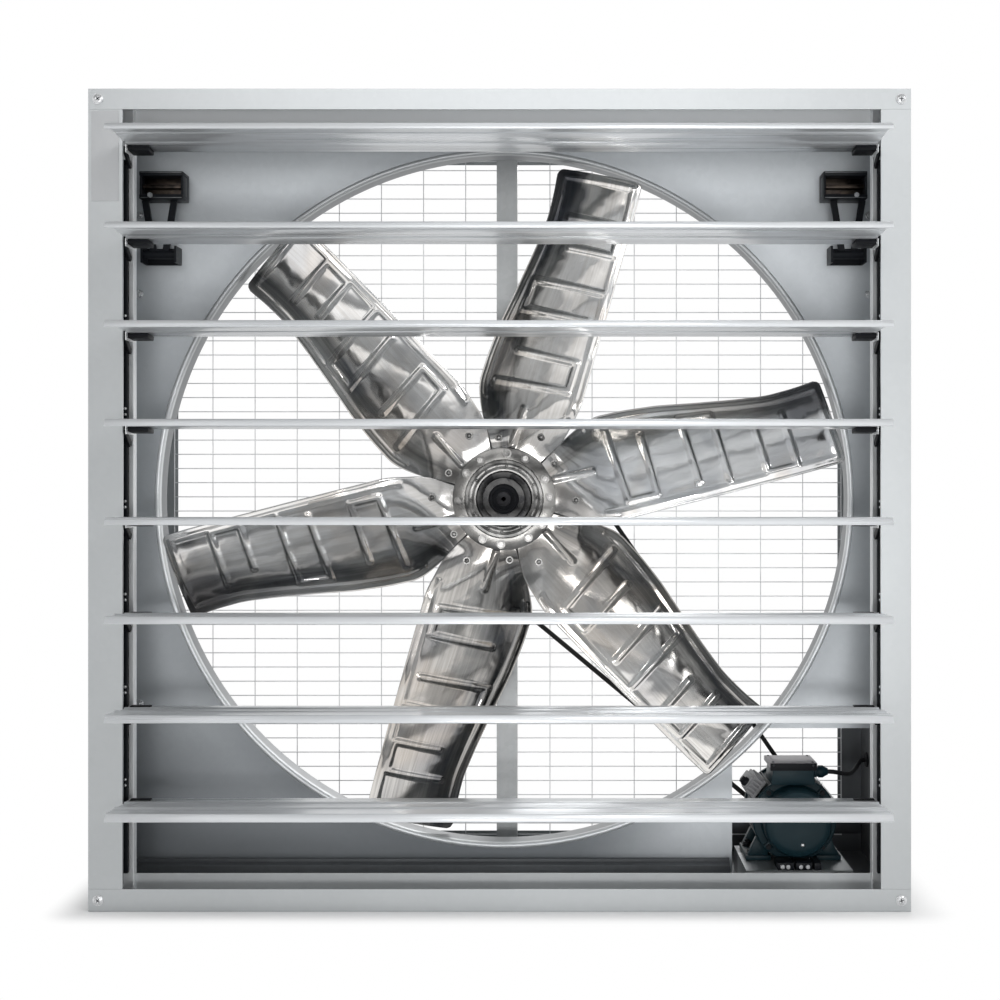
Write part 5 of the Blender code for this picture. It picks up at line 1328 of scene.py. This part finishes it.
def make_motor_front():
    maker = bmesh.new()
    wall = MOTOR_WALL
    cap = CAP_RADIUS
    profile = [(0, 0.0015), (0.012, 0.0006), (cap - 0.017, 0), (cap - 0.011, 0.0008), (cap - 0.0045, 0.0035),
               (cap - 0.001, 0.009), (cap, 0.014), (cap, 0.043), (cap + 0.002, 0.0455),
               (MOTOR_RADIUS - 0.002, 0.0465), (MOTOR_RADIUS, 0.0485), (MOTOR_RADIUS, 0.055),
               (MOTOR_RADIUS - wall, 0.055), (cap - wall, 0.047), (cap - wall, 0.014),
               (cap - 0.012, 0.0055), (0, 0.0055)]
    add_turned(maker, profile, "Y", (MOTOR_X, MOTOR_FRONT, MOTOR_Z), MOTOR_STEPS)
    for spoke in range(4):
        add_block(maker, (cap - 0.002, -0.0640, -0.007), (MOTOR_RADIUS - 0.001, -0.0566, 0.007), 0.0015,
                  motor_turn(pi / 4 + spoke * pi / 2))
    finish_piece(maker, "motor_front_cap", "motor_paint", "motor_front_shield")


def make_motor_barrel():
    maker = bmesh.new()
    barrel = MOTOR_RADIUS - FIN_HEIGHT
    inner = MOTOR_RADIUS - MOTOR_WALL - 0.002
    profile = [(inner, HOUSING_FRONT), (barrel, HOUSING_FRONT), (barrel, HOUSING_BACK), (inner, HOUSING_BACK)]
    add_turned(maker, profile, "Y", MOTOR_CENTRE, MOTOR_STEPS)
    for fin in range(FIN_COUNT):
        add_block(maker, (barrel - 0.001, HOUSING_FRONT + 0.003, -0.0011),
                  (MOTOR_RADIUS, HOUSING_BACK - 0.003, 0.0011), 0.0006, motor_turn(2 * pi * fin / FIN_COUNT))
    for side in (-1, 1):
        near, far = sorted((MOTOR_X + side * 0.040, MOTOR_X + side * 0.085))
        add_block(maker, (near, HOUSING_FRONT + 0.008, FOOT_BOTTOM), (far, HOUSING_BACK - 0.008, FOOT_TOP),
                  0.0015)
        for y in (HOUSING_FRONT + 0.012, HOUSING_BACK - 0.026):
            web = [(MOTOR_X + side * x, y, z)
                   for x, z in ((0.082, 0.054), (0.045, 0.054), (0.045, 0.070), (0.066, 0.086))]
            add_prism(maker, web, (0, 0.014, 0), 0.001)
    finish_piece(maker, "motor_barrel", "motor_paint", "motor_housing")


rear_profile = [(MOTOR_BORE, 0), (MOTOR_RADIUS, 0), (MOTOR_RADIUS, 0.007), (MOTOR_RADIUS - 0.003, 0.009),
                (0.040, 0.014), (0.036, 0.0155), (0.036, 0.019), (0.035, 0.020), (MOTOR_BORE, 0.020)]
make_motor_front()
make_motor_barrel()
turn_piece("motor_rear_cap", rear_profile, "Y", (MOTOR_X, HOUSING_BACK + 0.0003, MOTOR_Z), MOTOR_STEPS,
           "motor_paint", "motor_rear_shield")

# %% [markdown]
# On the motor sits the connection box: a teal casting with a pale lid and a gland at its right. A black
# strip covers the lid's front face and the case's top edge below it: a dark joint, and painted shade
# on the lid's front and under its edge. Left of the box is the capacitor's ribbed cover with a black
# plug, right of it a bare plate. These two are built upright over the motor's axis and then turned
# about it onto its shoulders.

# %% Terminal box and the blocks on the motor's shoulders
SHOULDER_TURN = radians(52)
BLOCK_SEAT = MOTOR_RADIUS + 0.0004
BLOCK_TOP = MOTOR_RADIUS + 0.028
PLATE_TOP = MOTOR_RADIUS + 0.0024
FRONT_RIBS = (-0.0155, 0.0068, 5)
SIDE_RIBS = (-0.030, 0.0105, 6)
LID_STEP_INSET = 0.008
LID_SCREW_INSET = 0.007
CORD_BORE = 0.0045


def make_terminal_box():
    low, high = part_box("terminal_box")
    foot = MOTOR_Z + MOTOR_RADIUS - 0.012
    maker = bmesh.new()
    outline = [(low.x + 0.004, low.y, high.z), (high.x - 0.004, low.y, high.z),
               (high.x - 0.001, low.y, foot), (low.x + 0.001, low.y, foot)]
    add_prism(maker, outline, (0, high.y - low.y, 0), 0.002)
    finish_piece(maker, "terminal_case", "motor_paint", "terminal_box")
    low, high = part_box("terminal_lid")
    maker = bmesh.new()
    add_block(maker, low, high, 0.0016)
    add_block(maker, (low.x + LID_STEP_INSET, low.y + LID_STEP_INSET, high.z - 0.0005),
              (high.x - LID_STEP_INSET, high.y - LID_STEP_INSET, high.z + 0.0008), 0.0006)
    finish_piece(maker, "terminal_cover", "lid_paint", "terminal_lid")
    # A black strip over the lid's front and the case's top edge: a dark joint, and painted shade under the
    # lid's edge.
    maker = bmesh.new()
    add_block(maker, (low.x + 0.001, low.y - 0.0004, low.z - 0.0045),
              (high.x - 0.001, low.y + 0.0004, high.z - 0.0006), 0.0003)
    finish_piece(maker, "terminal_lid_shade_strip", "black_plastic")
    maker = bmesh.new()
    for x in (low.x + LID_SCREW_INSET, high.x - LID_SCREW_INSET):
        add_dome(maker, 0.0024, 0.0014, "Y", (x, low.y - 0.0004, (low.z + high.z) / 2), -1)
        for y in (low.y + LID_SCREW_INSET, high.y - LID_SCREW_INSET):
            add_dome(maker, 0.0028, 0.0016, "Z", (x, y, high.z), 1)
    finish_piece(maker, "terminal_screws", "dark_steel")


def make_capacitor():
    """Three steps, one upon the other, with upright ribs on the front and on both sides."""
    left = motor_turn(-SHOULDER_TURN)
    blocks = [((-0.019, -0.040, BLOCK_SEAT), (0.019, 0.035, BLOCK_SEAT + 0.006), 0.001),
              ((-0.016, -0.037, BLOCK_SEAT + 0.005), (0.016, 0.033, BLOCK_TOP - 0.005), 0.002),
              ((-0.012, -0.034, BLOCK_TOP - 0.006), (0.010, 0.030, BLOCK_TOP), 0.002)]
    for x in (FRONT_RIBS[0] + rib * FRONT_RIBS[1] for rib in range(FRONT_RIBS[2])):
        blocks.append(((x, -0.0425, BLOCK_SEAT + 0.002), (x + 0.0032, -0.0360, BLOCK_TOP - 0.007), 0.0008))
    for y in (SIDE_RIBS[0] + rib * SIDE_RIBS[1] for rib in range(SIDE_RIBS[2])):
        blocks.append(((-0.0185, y, BLOCK_SEAT + 0.004), (0.0185, y + 0.0035, BLOCK_TOP - 0.009), 0.0008))
    maker = bmesh.new()
    for low, high, bevel in blocks:
        add_block(maker, low, high, bevel, left)
    finish_piece(maker, "capacitor_case", "case_paint", "capacitor_cover")
    maker = bmesh.new()
    at = (-0.004, -0.030, 0)
    add_pin(maker, 0.0082, BLOCK_TOP - 0.002, BLOCK_TOP + 0.006, "Z", at, 24, 0.001)
    add_hexagon(maker, 0.0066, BLOCK_TOP + 0.006, BLOCK_TOP + 0.011, "Z", at, 0.0008)
    bmesh.ops.transform(maker, matrix=left, verts=maker.verts)
    finish_piece(maker, "capacitor_plug", "black_plastic")


def make_blank_plate():
    right = motor_turn(SHOULDER_TURN)
    maker = bmesh.new()
    add_block(maker, (-0.020, -0.043, MOTOR_RADIUS), (0.020, 0.027, PLATE_TOP), 0.0006, right)
    finish_piece(maker, "rating_plate_blank", "bright_zinc", "rating_plate")
    maker = bmesh.new()
    for x in (-0.016, 0.016):
        for y in (-0.039, 0.023):
            add_dome(maker, 0.0018, 0.001, "Z", right @ Vector((x, y, PLATE_TOP)), 1)
    finish_piece(maker, "rating_plate_pins", "bright_zinc")


def front_middle(low, high):
    """The middle of a box's face towards -X, where a round piece along X starts."""
    return (low.x, (low.y + high.y) / 2, (low.z + high.z) / 2)


def make_gland_and_grommet():
    low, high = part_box("cable_gland")
    centre = front_middle(low, high)
    maker = bmesh.new()
    add_hexagon(maker, 0.0108, 0, 0.006, "X", centre, 0.0006)
    profile = [(CORD_BORE, 0.006), (0.0092, 0.006), (0.0092, 0.008), (0.0108, 0.0085), (0.0108, 0.016),
               (0.0095, 0.018), (0.0070, 0.0225), (0.0060, high.x - low.x), (CORD_BORE, high.x - low.x)]
    add_turned(maker, profile, "X", centre, 40)
    finish_piece(maker, "gland_nut", "motor_paint", "cable_gland")
    low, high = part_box("wall_grommet")
    wide = (high.z - low.z) / 2
    profile = [(CORD_BORE, 0), (wide - 0.0016, 0), (wide, 0.0014), (wide, 0.003), (0.0100, 0.003),
               (0.0100, high.x - low.x), (CORD_BORE, high.x - low.x)]
    turn_piece("grommet_ring", profile, "X", front_middle(low, high), 48, "black_plastic",
               "wall_grommet")


make_terminal_box()
make_capacitor()
make_blank_plate()
make_gland_and_grommet()

# %% [markdown]
# Small screws, nuts and bolts finish the motor: a row of bolts on the strips of its cradle, four bolts
# round the front shield, and one on a washer in each corner of its feet.

# %% Motor fasteners
CRADLE_STRIPS = ((-0.038, -0.010), (-0.006, 0.022), (0.026, 0.038))
CRADLE_BOLTS = (-0.030, -0.020, 0.002, 0.014)
CRADLE_BOLT_STACK = [(0.0042, 0.0045, 6, 0.0004)]
CRADLE_FRONT = -0.1075
CRADLE_BOTTOM = 0.0452
CRADLE_TOP = 0.0575
SHIELD_BOLT_STACK = [(0.0048, 0.0043, 6, 0.0004)]
SHIELD_BOLT_FACE = -0.0642
SHIELD_BOLT_RING = 0.0675
FOOT_BOLT_STACK = [(0.0090, 0.0014, 24, 0.0003), (0.0072, 0.0058, 6, 0.0005), (0.0036, 0.0045, 16, 0.0005)]


def make_motor_fasteners():
    maker = bmesh.new()
    add_dome(maker, 0.0036, 0.0022, "Y", (MOTOR_X + 0.006, MOTOR_FRONT, MOTOR_Z - 0.035), -1)
    for x in CRADLE_BOLTS:
        at = (MOTOR_X + x, 0, CRADLE_TOP - 0.006)
        add_stack(maker, CRADLE_BOLT_STACK, CRADLE_FRONT + 0.0002, "Y", at, -1)
    finish_piece(maker, "motor_bolts", "bright_zinc")
    maker = bmesh.new()
    for start, end in CRADLE_STRIPS:
        add_block(maker, (MOTOR_X + start, CRADLE_FRONT, CRADLE_BOTTOM),
                  (MOTOR_X + end, CRADLE_FRONT + 0.0455, CRADLE_TOP), 0.0010)
    add_block(maker, (MOTOR_X + CRADLE_STRIPS[0][0], CRADLE_FRONT + 0.0175, CRADLE_BOTTOM),
              (MOTOR_X + CRADLE_STRIPS[-1][1], CRADLE_FRONT + 0.0375, CRADLE_TOP - 0.002), 0.0010)
    finish_piece(maker, "motor_cradle", "black_paint")
    maker = bmesh.new()
    for spoke in range(4):
        at = motor_turn(pi / 4 + spoke * pi / 2) @ Vector((SHIELD_BOLT_RING, 0, 0))
        add_stack(maker, SHIELD_BOLT_STACK, SHIELD_BOLT_FACE, "Y", at, -1)
    for side in (-1, 1):
        for y in (HOUSING_FRONT + 0.022, HOUSING_BACK - 0.030):
            at = (MOTOR_X + side * 0.074, y, 0)
            add_stack(maker, FOOT_BOLT_STACK, FOOT_TOP, "Z", at, 1)
    finish_piece(maker, "foot_bolts", "black_paint")


make_motor_fasteners()
